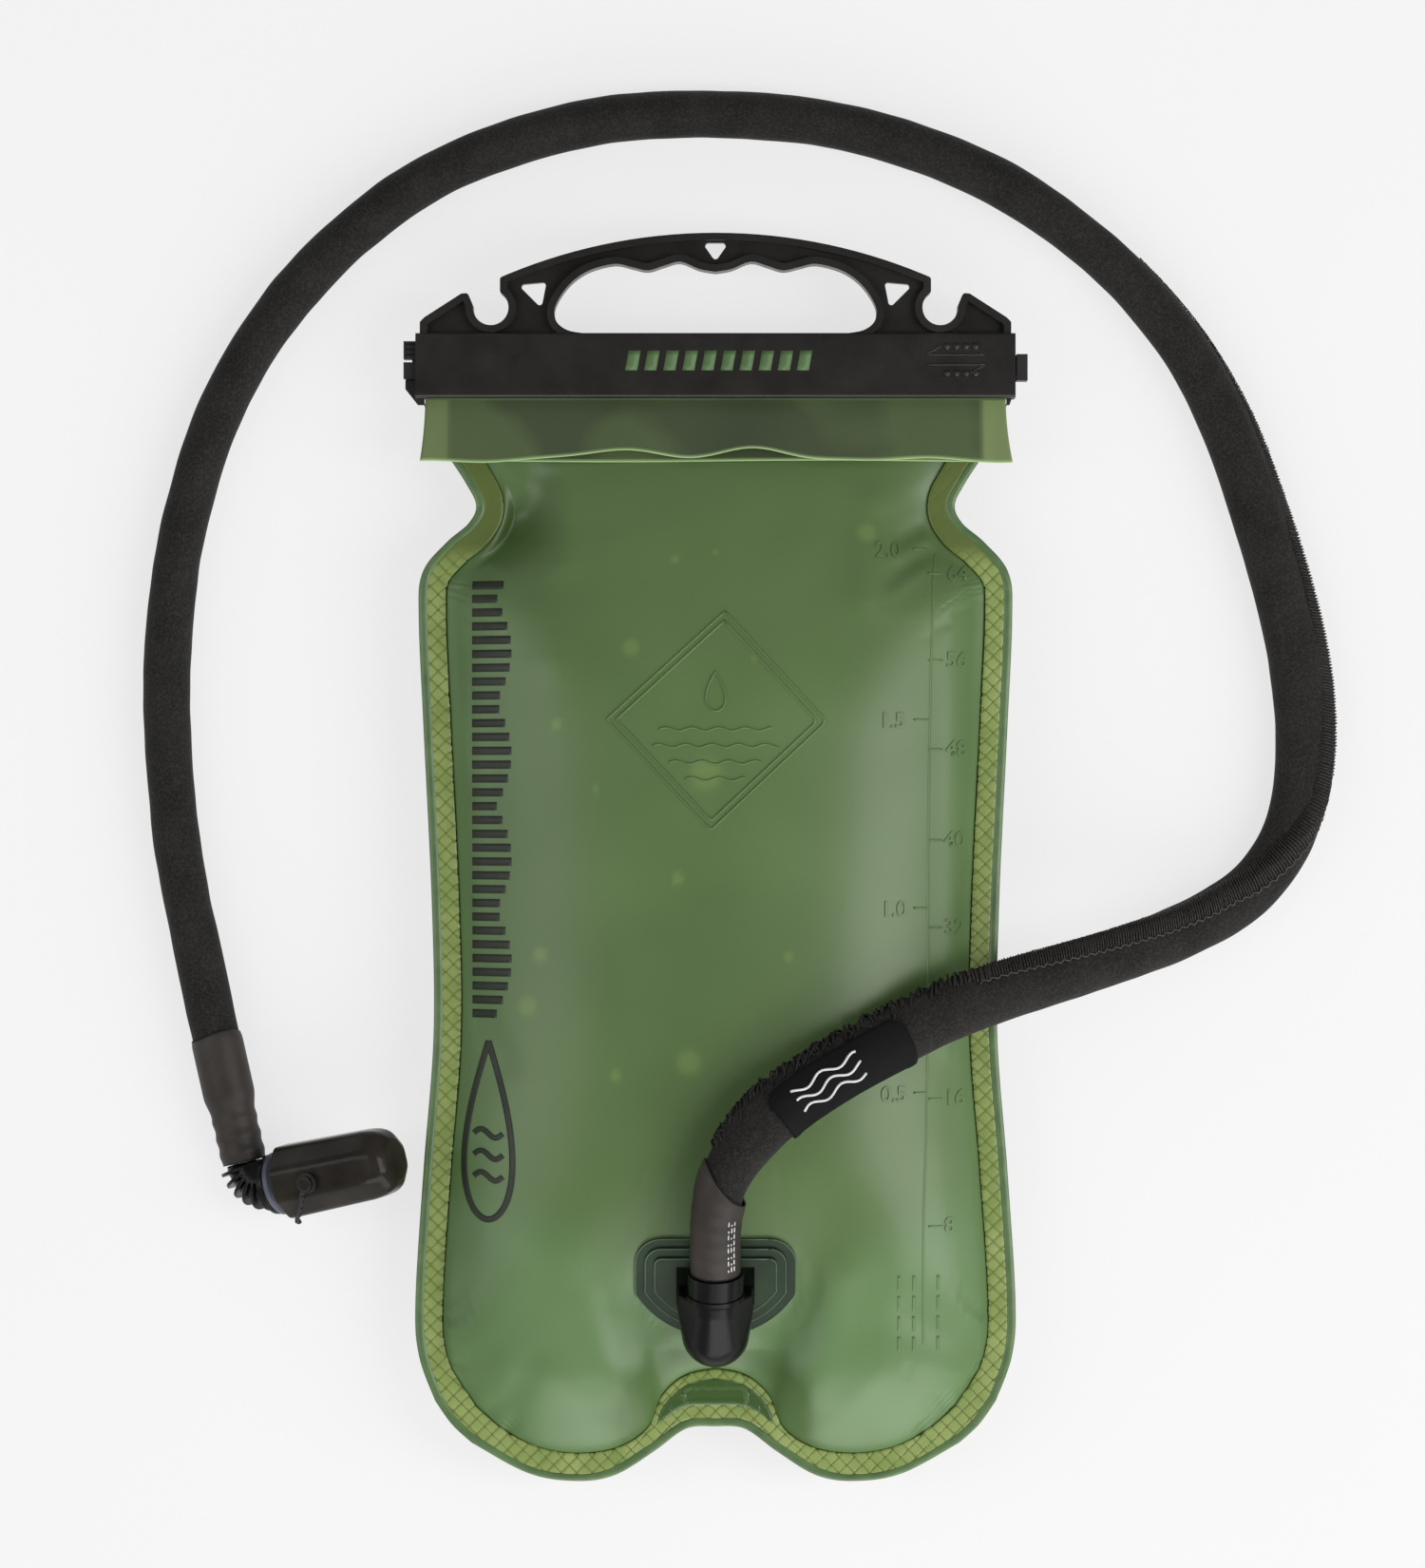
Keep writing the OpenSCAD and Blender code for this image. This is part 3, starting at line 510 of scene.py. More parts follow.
def make_stitches():
    """Overlocked seam: rough dark tufts by the port, then fine slanted threads with a chain."""
    tufts, threads = Batch(), Batch()
    for s in np.arange(SEAM_START + 4, SEAM_END - 40, 0.9):
        rough = 1 - smooth((s - 110) / 30)
        half = (30 - 18 * rough) * (1 + rng.normal(0, 0.05 + 0.2 * rough))
        drift = rng.normal(0, 1 + 7 * rough)
        lean = 2.6 + rng.normal(0, 0.1 + 2.0 * rough)
        tuft = 0.16 + abs(rng.normal(0, 0.05 + 0.5 * rough))
        path = [seam_point(s + lean * (k + 1) / 2, drift + half * k, 0.05 + tuft * (1 - k * k))
                for k in (-1, -0.5, 0, 0.5, 1)]
        (tufts if rough > 0.5 else threads).add(*tube_between(path, 0.24 + 0.18 * rough, 5))
    chain = [seam_point(s, 3 * math.sin(s * 2.1) - 33, 0.2 + 0.15 * math.sin(s * 4.2))
             for s in np.arange(128, SEAM_END - 40, 0.6)]
    chain_start = len(threads.verts)
    threads.add(*tube_between(chain, 0.2, 5))
    dark = tufts.piece("seam_tufts", thread_mat, "neoprene")
    # these slanted threads and the chain carry stitch_mat's painted highlight
    pale = threads.piece("seam_stitches", stitch_mat, "neoprene")
    set_values(pale, "chain", np.arange(len(threads.verts)) >= chain_start)
    return dark, pale


stitches = make_stitches()


def wrap(name, s_ends, radius, wall, replaces, steps=30):
    """A shrink sleeve round the hose; s_ends gives each angle's start and end distance."""
    start, end = s_ends(RING_ANGLES)
    rows = []
    for inset, order in ((0.0, range(steps + 1)), (wall, range(steps, -1, -1))):
        for f in (k / steps for k in order):
            s = start + (end - start) * f
            rows.append(round_hose(s, RING_ANGLES, radius(s, f) - inset))
    faces = grid_faces(len(rows), RING, closed=True)
    last = (len(rows) - 1) * RING
    faces += [[last + i, last + (i + 1) % RING, (i + 1) % RING, i] for i in range(RING)]
    obj = add_mesh(name, np.concatenate(rows), faces, shrink_mat)
    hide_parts(replaces)
    return obj


def make_shrinks():
    """The two shrink sleeves: one cut slanting by the port, one drawn in ridges by the valve."""
    total = hose_line.length

    def port_ends(angles):
        return np.full_like(angles, 0.15), 28.5 - 4.6 * np.cos(np.radians(angles))

    def port_radius(s, f):
        flare = smooth((f - 0.62) / 0.38)
        return 7.7 + 0.07 * np.sin(s * 1.3) + 0.75 * flare - 0.2 * (1 - smooth(f / 0.15))

    def valve_ends(angles):
        wobble = 0.8 * np.sin(np.radians(angles * 2 + 40))
        return total - 40 + wobble, np.full_like(angles, total - 0.1)

    def valve_radius(s, f):
        neck = smooth((s - (total - 22)) / 8)
        ridges = sum(groove(s - (total - c), 1.7) for c in (13.5, 8.2, 3.2))
        return 7.95 - 1.35 * neck + 0.45 * ridges - 0.25 * (1 - smooth(f / 0.05))

    return (wrap("port_shrink_wrap", port_ends, port_radius, 0.55, "port_shrink_sleeve"),
            wrap("valve_shrink_wrap", valve_ends, valve_radius, 0.5, "valve_shrink_sleeve", 60))


port_shrink, valve_shrink = make_shrinks()


def make_shrink_dashes():
    """White dashes along the port's shrink sleeve, where the maker prints a rating."""
    batch = Batch()
    for k in range(10):
        start = 3.0 + 2.15 * k
        for angle, long in ((44, 1.5), (52, 0.6 if k % 3 else 1.5), (60, 1.5 if k % 2 else 0.7)):
            path = round_hose(np.linspace(start, start + long, 4), angle, 7.78)
            batch.add(*tube_between(path, 0.2, 5))
    return batch.piece("shrink_dashes", white_mat, "shrink_tube")


shrink_dashes = make_shrink_dashes()


def make_label():
    """The sewn label: a cloth patch round the sleeve, with rounded corners and a raised edge."""
    (s0, s1), (angle0, angle1) = (55, 101), (-45, 136)
    rows, cols = 41, 37
    lift, thick, corner = 0.25, 0.6, 0.25
    across = np.linspace(-1, 1, cols)
    layers = []
    for height, swell in ((lift + thick, 0.25), (lift, 0.0)):
        for v in np.linspace(-1, 1, rows):
            u = across * (1 - corner * max(0.0, (abs(v) - 0.82) / 0.18) ** 2.5)
            s = s0 + (s1 - s0) * (v + 1) / 2
            angle = (angle0 + angle1) / 2 + (angle1 - angle0) / 2 * u
            edge = groove(np.maximum(abs(u), abs(v)) - 0.93, 0.05)
            layers.append(round_hose(s, angle, sleeve_radius(s, angle) + height + swell * edge))
    top, low = np.concatenate(layers[:rows]), np.concatenate(layers[rows:])
    verts, faces, _ = closed_sheet(top, low, rows, cols)
    obj = add_mesh("sleeve_label_patch", verts, faces, label_mat)
    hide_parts("sleeve_label")
    return obj


def make_label_marks():
    """Three white ripples in place of the label's lettering."""
    batch = Batch()
    f = np.linspace(0, 1, 25)
    s = 62 + 22 * f
    for row, middle in enumerate((60, 82, 104)):
        angle = middle + 7 * np.sin(f * 4 * math.pi + row)
        path = round_hose(s, angle, sleeve_radius(s, angle) + 0.95)
        batch.add(*tube_between(path, 0.38, 6))
    return batch.piece("label_ripples", white_mat, "label_fabric")


label = make_label()
label_marks = make_label_marks()

# ---------------------------------------------------------------- the cap's tether
VALVE_AT = np.array((-142.588, -102.282, 9.5))
VALVE_AXIS = np.array((0.875758, 0.202185, 0.438371))
STRAP_RADIUS = 12.9


def make_tether():
    """The cap's tether: a moulded ring and strap, with two thin cords twisted round the strap."""
    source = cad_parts["cap_tether"].data
    strap = add_mesh("cap_tether_strap", [v.co / MM for v in source.vertices],
                     [list(f.vertices) for f in source.polygons], rubber_mat, None)
    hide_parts("cap_tether")
    across = unit(np.cross((0.0, 0.0, 1.0), VALVE_AXIS))
    up = np.cross(VALVE_AXIS, across)
    bends = []
    for degrees, x in ((188, 12.9), (166, 15.5), (142, 19), (118, 23), (104, 25)):
        turn = math.radians(degrees)
        out = math.cos(turn) * across + math.sin(turn) * up
        bends.append(VALVE_AT + x * VALVE_AXIS + STRAP_RADIUS * out)
    f = np.linspace(0, 1, 81)
    middle = curve_at(bends, f * (len(bends) - 1))
    twists = 4.5
    batch = Batch()
    for strand in (0, 1):
        turn = (math.pi * (2 * twists * f + strand))[:, None]
        path = middle + 0.6 * (np.cos(turn) * VALVE_AXIS + np.sin(turn) * unit(middle - VALVE_AT))
        batch.add(*tube_between(path, 0.3, 6))
    cords = batch.piece("cap_tether_cords", rubber_mat, "tether_rubber", None)
    for obj in (strap, cords):
        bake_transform(obj)
    return [strap, cords]


tether = make_tether()

# ---------------------------------------------------------------- bag outline
# Half outlines, in mm: each from the middle of the foot, or from the foot's corner up to the mouth.
FOOT_RIM = [(0, -173.5), (9, -174.2), (19, -181), (31, -188.3), (43, -190), (57, -187.6), (74, -178.5)]
FOOT_SEAM = [(0, -156.5), (9, -158.5), (16, -164.5), (20.5, -174.5), (30, -180.6), (42, -182.4),
             (54, -180.6), (65, -175), (73.7, -167.5)]
SIDE_RIM = [(85, -166), (90, -152), (91, -135), (88.5, -95), (85.5, -55), (86, -15), (88.5, 38),
            (90, 72), (89, 86), (82, 95), (75, 101), (72.5, 107), (76, 114.5), (84, 127), (88.5, 138)]
CORNER_RIM = (80, -173)
RIM_W, MOUTH_Y, MOUTH_HALF = 7.6, 138.0, 88.5
SEAM_HALF = MOUTH_HALF - RIM_W
FILM_T = 0.5
PORT_AT = np.array((0.0, -130.43, 33.18))
PORT_TILT = math.radians(20)
FLANGE_HALF_X, FLANGE_HALF_Y = 24.3, 16.2


def foot_at(points, q):
    """Points of a foot outline; q runs -1..1 across the bag."""
    p = curve_at(points, np.abs(q) * (len(points) - 1))
    p[:, 0] *= np.where(np.atleast_1d(q) < 0, -1, 1)
    return p


def side_rim_at(t):
    return curve_at(SIDE_RIM, np.asarray(t) * (len(SIDE_RIM) - 1))


def rim_inset(t):
    """Points RIM_W inside the side rim."""
    d = unit(side_rim_at(np.minimum(1, t + 0.01)) - side_rim_at(np.maximum(0, t - 0.01)))
    return side_rim_at(t) + RIM_W * np.stack([-d[:, 1], d[:, 0]], -1)


SEAM_ENDS = rim_inset(np.array([0.0, 1.0]))


def side_seam_at(t):
    """Points of the side seam, led at its ends to the foot's seam and to the mouth."""
    t = np.atleast_1d(t)
    low = np.array(FOOT_SEAM[-1]) - SEAM_ENDS[0]
    top = np.array((SEAM_HALF, MOUTH_Y)) - SEAM_ENDS[1]
    return (rim_inset(t) + low * (1 - smooth(t * 22))[:, None]
            + top * (1 - smooth((1 - t) * 22))[:, None])


def patch(q, t):
    """Points of the bag's plan between its seams: q runs -1..1 across and t 0..1 up."""
    shape = q.shape
    q, t = q.ravel(), t.ravel()
    u, v = ((q + 1) / 2)[:, None], t[:, None]
    foot = foot_at(FOOT_SEAM, q)
    top = np.stack([SEAM_HALF * q, np.full_like(q, MOUTH_Y)], -1)
    right = side_seam_at(t)
    mirror = np.array((-1, 1))
    corner, mouth = np.array(FOOT_SEAM[-1], float), np.array((SEAM_HALF, MOUTH_Y))
    low_chord = corner * mirror * (1 - u) + corner * u
    top_chord = mouth * mirror * (1 - u) + mouth * u
    p = (foot * (1 - v) + top * v + right * mirror * (1 - u) + right * u
         - low_chord * (1 - v) - top_chord * v)
    return p.reshape(*shape, 2)


def fullness(q, t):
    """How far the water lifts the film, 0 at the seams and at the mouth."""
    across = (1 - np.abs(q) ** 2.4) ** 0.62
    foot = np.sin(np.radians(90 * np.clip(t / 0.24, 0, 1))) ** 0.7
    return across * foot * (1 - smooth((t - 0.5) / 0.47))


def port_plane(y):
    """Height of the flange's tilted seat."""
    return PORT_AT[2] + (y - PORT_AT[1]) * math.tan(PORT_TILT)


def on_port(p, grow=0.0):
    """True under the port's flange, a rounded D seen along its own axis."""
    x, y = p[..., 0], (p[..., 1] - PORT_AT[1]) / math.cos(PORT_TILT)
    return np.abs(x / (FLANGE_HALF_X + grow)) ** 3 + np.abs(y / (FLANGE_HALF_Y + grow)) ** 3 < 1


def in_well(p):
    """True in the flange's arched opening, where the elbow goes through the film."""
    x, y = p[..., 0], (p[..., 1] - PORT_AT[1]) / math.cos(PORT_TILT)
    half = 12.4
    return (np.abs(x) < half) & (y < 8.0) & (y > -12.0) & (np.hypot(x, np.minimum(y + 2, 0)) < half)


# ---------------------------------------------------------------- films
def settle(start, pattern, cols, held):
    """Lets a welded sheet find its shape under the water's pressure; points in mm."""
    scale = 0.01
    pressure, frames = 6.0, 60
    me = bpy.data.meshes.new("film_cloth")
    me.from_pydata((start * scale).tolist(), [], grid_faces(len(start) // cols, cols))
    obj = put("film_cloth", me)
    obj.shape_key_add(name="Basis")
    key = obj.shape_key_add(name="pattern")
    key.data.foreach_set("co", (pattern * scale).ravel())
    group = obj.vertex_groups.new(name="held")
    group.add([int(i) for i in np.flatnonzero(held)], 1.0, "REPLACE")
    cloth = obj.modifiers.new("cloth", "CLOTH")
    s = cloth.settings
    s.quality = 7
    s.mass = 0.15
    s.air_damping = 4.0
    s.tension_stiffness = s.compression_stiffness = 40.0
    s.shear_stiffness = 15.0
    s.bending_stiffness = 0.08
    s.vertex_group_mass = group.name
    s.rest_shape_key = key
    s.use_pressure = True
    s.uniform_pressure_force = pressure
    s.effector_weights.gravity = 0.0
    cloth.collision_settings.use_collision = False
    cloth.point_cache.frame_start = 1
    cloth.point_cache.frame_end = frames
    for f in range(1, frames + 1):
        bpy.context.scene.frame_set(f)
    shape = obj.evaluated_get(bpy.context.evaluated_depsgraph_get()).to_mesh()
    out = np.empty(len(shape.vertices) * 3)
    shape.vertices.foreach_get("co", out)
    bpy.data.objects.remove(obj)
    bpy.context.scene.frame_set(1)
    return out.reshape(-1, 3) / scale


COARSE_COLS, COARSE_ROWS = 73, 121
FINE = 3  # the front film's grid is this many times finer than the simulated one
FLANGE_GAP = 0.06  # the film lies this far under the flange


def refine(grid, times):
    """A smooth, finer copy of a grid of points, rows x cols x values."""
    rows, cols, depth = grid.shape
    along = curve_at(grid.reshape(rows, -1), np.linspace(0, rows - 1, (rows - 1) * times + 1))
    along = along.reshape(-1, cols, depth).transpose(1, 0, 2)
    n = along.shape[1]
    both = curve_at(along.reshape(cols, -1), np.linspace(0, cols - 1, (cols - 1) * times + 1))
    return both.reshape(-1, n, depth).transpose(1, 0, 2)


def film_grid():
    """Places q, t of the coarse grid's points, a little closer together towards the sides."""
    q = np.linspace(-1, 1, COARSE_COLS)
    q = np.sign(q) * np.abs(q) ** 0.9
    t = np.linspace(0, 1, COARSE_ROWS)
    return np.meshgrid(q, t)


def front_shape():
    """The front film as a coarse grid: cut flat, filled and settled, then calmed."""
    q, t = film_grid()
    plan = patch(q, t)
    y = plan[..., 1]
    z = SEAM_Z + FILM_T + 24.5 * fullness(q, t)
    seat = port_plane(y) - FLANGE_GAP
    away = np.hypot(plan[..., 0] / FLANGE_HALF_X, (y - PORT_AT[1]) / FLANGE_HALF_Y) - 1
    cone = seat + 9.0 * np.clip(away, 0, None) ** 1.4
    soft_min = -2.0 * np.log(np.exp(-z / 2.0) + np.exp(-cone / 2.0))
    z = np.where(away < 2.5, np.minimum(z, soft_min), z)
    near = on_port(plan)
    start = np.dstack([plan, np.where(near, seat, z)])
    pattern = start.copy()
    pattern[..., 2] = SEAM_Z
    pattern[..., 0] *= 1 + 0.05 * (1 - smooth((t - 0.62) / 0.3))
    held = near.copy()
    held[0] = held[-4:] = True
    held[:, 0] = held[:, -1] = True
    start[..., 2] += 0.25 * field(start, 14.0, 5).reshape(z.shape) * (~held)
    shape = settle(start.reshape(-1, 3), pattern.reshape(-1, 3), COARSE_COLS, held.ravel())
    return calm(shape.reshape(COARSE_ROWS, COARSE_COLS, 3))


def fold(grid, a, b, width, depth):
    """A soft valley (or ridge, for a negative depth) in the film along the line a-b, in mm."""
    a, b = np.array(a, float), np.array(b, float)
    along = b - a
    f = ((grid[..., :2] - a) @ along) / (along @ along)
    off = np.linalg.norm(grid[..., :2] - a - np.clip(f, 0, 1)[..., None] * along, axis=-1)
    grid[..., 2] -= depth * np.exp(-(off / width) ** 2)


def relax(z, mask, times):
    """Evens out small ripples where mask is near 1."""
    for _ in range(times):
        around = z.copy()
        around[1:-1, 1:-1] = (z[:-2, 1:-1] + z[2:, 1:-1] + z[1:-1, :-2] + z[1:-1, 2:]) / 4
        z = z + mask * (around - z)
    return z


def soft_lower(z, ceiling, width):
    """z kept under a ceiling, with a rounded shoulder of that width."""
    over = np.clip((z - ceiling) / width, -40, 40)
    return z - width * np.log1p(np.exp(over))


def calm(grid):
    """The settled film, its ripples evened out, its middle flat and its neck pressed down."""
    x, y = grid[..., 0], grid[..., 1]
    q, t = film_grid()
    foot = 1 - smooth((np.hypot(x / 48, (y + 145) / 34) - 0.8) / 0.3)
    neck = smooth((y - 40) / 30) * smooth((0.985 - np.abs(q)) / 0.03)
    z = relax(grid[..., 2], np.maximum(foot, neck) * ~on_port(grid, 1.0), 30)
    # The flat middle: most of what stands over 44 mm is taken off.
    z = z - 0.72 * (z - soft_lower(z, 44.0, 2.5))
    z = soft_lower(z, 24.0 + 0.31 * (124 - y), 2.2)
    # The dish round the flange: away is 0 on its outline and grows outwards.
    up = (y - PORT_AT[1]) / 15.4
    power = 2.1 + 1.9 * smooth(up + 0.5)
    away = (np.abs(x / 24.6) ** power + np.abs(up) ** power) ** (1 / power) - 1
    seat = port_plane(y)
    dish = seat + (z - seat) * smooth(away / 0.9)
    z = z + (dish - z) * smooth(t / 0.04) * (away < 0.9)
    z = np.where(on_port(grid), seat - FLANGE_GAP, z)
    round_port = smooth((1.3 - away) / 0.3) * smooth(away / 0.12) * smooth(t / 0.02)
    grid[..., 2] = relax(z, round_port, 6)
    return grid


# Folds from filling and rolling: start, end, width and depth in mm, or height where it's negative.
FOLDS = [
    ((-73, 91), (-60, 102), 8.0, 3.8), ((-60, 100), (-54, 114), 8.0, 1.6),
    ((-80, 85), (-69, 89), 2.6, -1.0), ((-48, 118), (-46, 90), 6.0, -1.6),
    ((-52, 88), (-50, 60), 7.0, -0.8), ((67, 103), (57, 97), 3.0, 0.8),
    ((66, 97), (56, 91), 2.4, -0.5), ((64, 92), (53, 85), 3.0, 0.7),
    ((62, 86), (54, 80), 2.4, -0.4), ((48, 106), (46, 80), 7.0, -1.5),
    ((70, 98), (76, 84), 3.0, 0.7), ((73, 84), (72, -60), 4.0, -0.7),
    ((-73, 60), (-72, -20), 4.0, -0.5), ((37, -128), (24, -178), 7.0, -1.6),
    ((-36, -136), (-26, -178), 6.0, -1.1), ((-80, -160), (-60, -142), 6.0, 0.9),
    ((-66, -174), (-56, -152), 5.0, 0.7), ((82, -152), (60, -138), 6.0, 1.0),
    ((80, -158), (72, -170), 4.0, -0.6), ((-77, -42), (-64, -62), 5.0, 0.7)]


def sculpt(grid, q, t):
    """Sets the folds in the film, which the simulation doesn't know of, clear of port and seams."""
    z0 = grid[..., 2].copy()
    for one in FOLDS:
        fold(grid, *one)
    port = np.hypot(grid[..., 0] / 27, (grid[..., 1] - PORT_AT[1]) / 18.5)
    inside = (smooth((1 - np.abs(q)) / 0.06) * smooth(t / 0.05) * smooth((1 - t) / 0.06)
              * smooth((port - 1) / 0.25))
    grid[..., 2] = z0 + (grid[..., 2] - z0) * inside
    return grid


def back_shape():
    """The back film as a coarse grid, gently uneven; the floor flattens it afterwards."""
    q, t = film_grid()
    grid = np.dstack([patch(q, t), SEAM_Z - FILM_T - 23.5 * fullness(q, t)])
    soft = field(grid, 22.0, 9).reshape(q.shape)
    grid[..., 2] += 0.5 * soft * (1 - np.abs(q) ** 6) * smooth(t / 0.1) * smooth((1 - t) / 0.1)
    return grid


def thick_sheet(name, grid, thick, material, keep=None):
    """A piece of film from a grid of points on its upper face, and its points' numbers there."""
    normal = unit(np.cross(np.gradient(grid, axis=1), np.gradient(grid, axis=0)) + 1e-9)
    verts, faces, ids = closed_sheet(grid, grid - thick * normal, *grid.shape[:2], keep)
    return add_mesh(name, verts, faces, material), ids


# Where the two films or drops touch the front film: x, y and radius in mm.
SPOTS = [(45.8, 98.3, 2.6), (0, 92.2, 0.9), (-12.2, 90.2, 1.2), (-25.5, 63.2, 2.3), (-2.9, 25, 4.5),
         (-11.3, -6.7, 1.7), (-57, -45.2, 2.6), (-53, -29.6, 2.0), (-36, 20, 1.1), (22, -30, 1.3),
         (-30, -66, 1.6), (12, 60, 1.0), (-48, 40, 1.5), (30, -78, 2.0), (-8, -62, 3.4)]


def film_marks(grid):
    """Light spots, from SPOTS."""
    value = np.zeros(grid.shape[:2])
    for x, y, r in SPOTS:
        d = np.hypot(grid[..., 0] - x, grid[..., 1] - y)
        value = np.maximum(value, 1 - smooth((d - r * 0.6) / (r * 0.9)))
    return value


def film_painted_shade(grid):
    """Painted shade where the film turns down to its weld and into its hollows, strongest round the
    foot's arch.
    """
    x, y = grid[..., 0], grid[..., 1]
    rows, cols = x.shape
    side = groove(1 - np.abs(np.linspace(-1, 1, cols)[None]), 0.045)
    foot = groove(np.linspace(0, 1, rows)[:, None], 0.02)
    arch = groove(np.hypot(x / 25, (y + 172) / 22) - 1, 0.22) * (y < -150)
    lobes = groove(np.hypot((np.abs(x) - 24) / 7, (y + 168) / 11), 1.0)
    neck = groove(np.hypot(np.abs(x) - 68, (y - 104) * 0.7), 9.0)
    shoulder = groove(np.hypot((x + 63) / 13, (y - 100) / 13), 1.0)
    total = 0.2 * side + 0.75 * arch + 0.9 * lobes + 0.3 * neck + 0.8 * shoulder + 0.3 * foot
    return np.clip(total, 0, 1)


def film_flank_light(points):
    """0 in the middle of the bag, 1 at its sides and foot: painted light that makes the film lighter
    and greener there, leaving a greyer middle as painted shade.
    """
    across = np.abs(points[..., 0] - 6) / 112 + np.clip(-100 - points[..., 1], 0, 60) / 70
    return smooth((across - 0.45) / 0.4)


def make_front():
    """The front film with its hole for the port, and the grid of its upper face."""
    places = refine(np.dstack(film_grid()), FINE)
    grid = sculpt(refine(front_shape(), FINE), places[..., 0], places[..., 1])
    middles = (grid[:-1, :-1] + grid[1:, 1:]) / 2
    obj, ids = thick_sheet("front_film_skin", grid, FILM_T, film_mat, keep=~in_well(middles))
    # painted shade in the film's hollows, and painted light at its sides and foot
    for name, values in (("spot", film_marks), ("painted_shade", film_painted_shade), ("flank_light", film_flank_light)):
        set_values(obj, name, values(grid).ravel()[ids])
    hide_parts("front_film")
    return obj, grid


def make_back():
    grid = refine(back_shape(), 2)
    grid[..., 2] = np.maximum(grid[..., 2], 0.3)
    obj, _ = thick_sheet("back_film_skin", grid[:, ::-1], FILM_T, film_mat)
    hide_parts("back_film")
    return obj


front_skin, front = make_front()
back_skin = make_back()


# ---------------------------------------------------------------- welded rim
LATTICE = 4.7
LIP_W = 1.9


def resample(line, count):
    """The line's points spread evenly along it."""
    line = np.asarray(line, float)
    s = np.concatenate([[0], np.cumsum(np.linalg.norm(np.diff(line, axis=0), axis=1))])
    at = np.linspace(0, s[-1], count)
    return np.stack([np.interp(at, s, line[:, k]) for k in range(line.shape[1])], -1)


def outline_pairs():
    """Matched points of the weld's inner and outer edge, from the left mouth round the foot."""
    side, low = np.linspace(1, 0.1, 500), np.linspace(0.1, 0, 60)
    corner = curve_at([SIDE_RIM[0], CORNER_RIM, FOOT_RIM[-1]], np.linspace(0, 2, 40))[1:]
    halves = []
    for edge_at, bend, foot_points, q_end in ((side_seam_at, [], FOOT_SEAM, 0.7),
                                              (side_rim_at, [corner], FOOT_RIM, 0.62)):
        last = foot_at(foot_points, np.linspace(1, q_end, 60))[1:]
        turn = np.concatenate([edge_at(side)[-1:], edge_at(low)[1:], *bend, last])
        q = np.linspace(1, 0, 400)
        foot = foot_at(foot_points, q[q <= q_end])
        halves.append(np.concatenate([resample(edge_at(side), 560), resample(turn, 170)[1:],
                                      resample(foot, 170)[1:]]))
    right = np.stack(halves, 1)
    return np.concatenate([right, right[::-1][1:] * (-1, 1)])[::-1]


def lattice_lines(x, y):
    """Distance to the nearest line of the diagonal pressed lattice."""
    out = []
    for w in (x + y, x - y):
        f = (w / LATTICE) % 1.0
        out.append(np.minimum(f, 1 - f) * LATTICE / math.sqrt(2))
    return np.minimum(*out)


def rounded_box(x, y, half_x, half_y, r):
    """Signed distance to a rounded rectangle."""
    dx, dy = np.abs(x) - half_x + r, np.abs(y) - half_y + r
    return np.hypot(np.maximum(dx, 0), np.maximum(dy, 0)) + np.minimum(np.maximum(dx, dy), 0) - r


def make_weld():
    """The welded rim: pressed lattice, rounded outer lip, and the moulded tab in the foot's arch."""
    pairs = outline_pairs()
    f = np.linspace(0, 1, 38)[None, :, None]
    plan = pairs[:, :1] * (1 - f) + pairs[:, 1:] * f
    width = np.linalg.norm(pairs[:, 1] - pairs[:, 0], axis=1)[:, None]
    d_in, d_out = width * f[..., 0], width * (1 - f[..., 0])
    x, y = plan[..., 0], plan[..., 1]
    lip = 1 - smooth((d_out - LIP_W + 0.15) / 0.3)
    tab = smooth((d_in - 2.8) / 0.4) * smooth((d_out - 6.3) / 0.4) * (np.abs(x) < 23)
    neck = smooth((y - 88) / 8)
    pressed = 1 - smooth((lattice_lines(x, y) - 0.16) / 0.3)
    line = (1 - lip) * (1 - tab) * pressed * (1 - 0.7 * neck)
    edge = groove(d_out - LIP_W, 0.3) + 0.7 * groove(d_in, 0.35)
    crown = np.sqrt(np.clip(1 - (d_out / LIP_W * 2 - 1) ** 2, 0, 1))
    slot_edge = groove(rounded_box(x, y + 164.6, 9.6, 2.6, 2.2), 0.3)
    ridge = groove(d_out - 7.3, 0.35) * (width > 13)
    z = (SEAM_Z + 0.55 - 0.1 * line - 0.2 * edge + 0.2 * lip * crown
         + tab * (0.35 * slot_edge + 0.25) + 0.3 * ridge * tab)
    z = z + 0.12 * field(np.dstack([plan, z]), 18, 2).reshape(z.shape)
    obj, ids = thick_sheet("weld_rim", np.dstack([plan, z])[:, ::-1], 1.0, weld_mat)
    line = np.clip(np.maximum(line, edge), 0, 1)
    tab = tab * (1 - 0.12 * slot_edge)
    for name, values in (("line", line), ("lip", lip), ("tab", tab), ("neck", neck)):
        set_values(obj, name, values[:, ::-1].ravel()[ids])
    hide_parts("front_film", "back_film")


make_weld()


# ---------------------------------------------------------------- film tails and flap
FOLD_Y, FOLD_Z, FLAP_Y, BAR_Y0 = 154.3, 22.0, 120.0, 139.5


def tail_path(r, lift):
    """A tail's way, as y and z: from the bag, round the fold rail at radius r, and down the flap."""
    turn = np.radians(np.linspace(-90, 90, 15))
    bend = [(FOLD_Y + r * math.cos(a), FOLD_Z + r * math.sin(a)) for a in turn]
    path = [(y, FOLD_Z - r) for y in (MOUTH_Y, BAR_Y0, 144.5, 148.5)] + bend
    path += [(149, FOLD_Z + r), (146.2, 22.2 + lift + (r - 1.5) * 0.4)]
    path += [(y, z + lift) for y, z in ((143.5, 20.9), (BAR_Y0, 20.9), (136, 21.6), (130, 23),
                                        (125, 24.2), (FLAP_Y, 25.4))]
    return resample(path, 150)


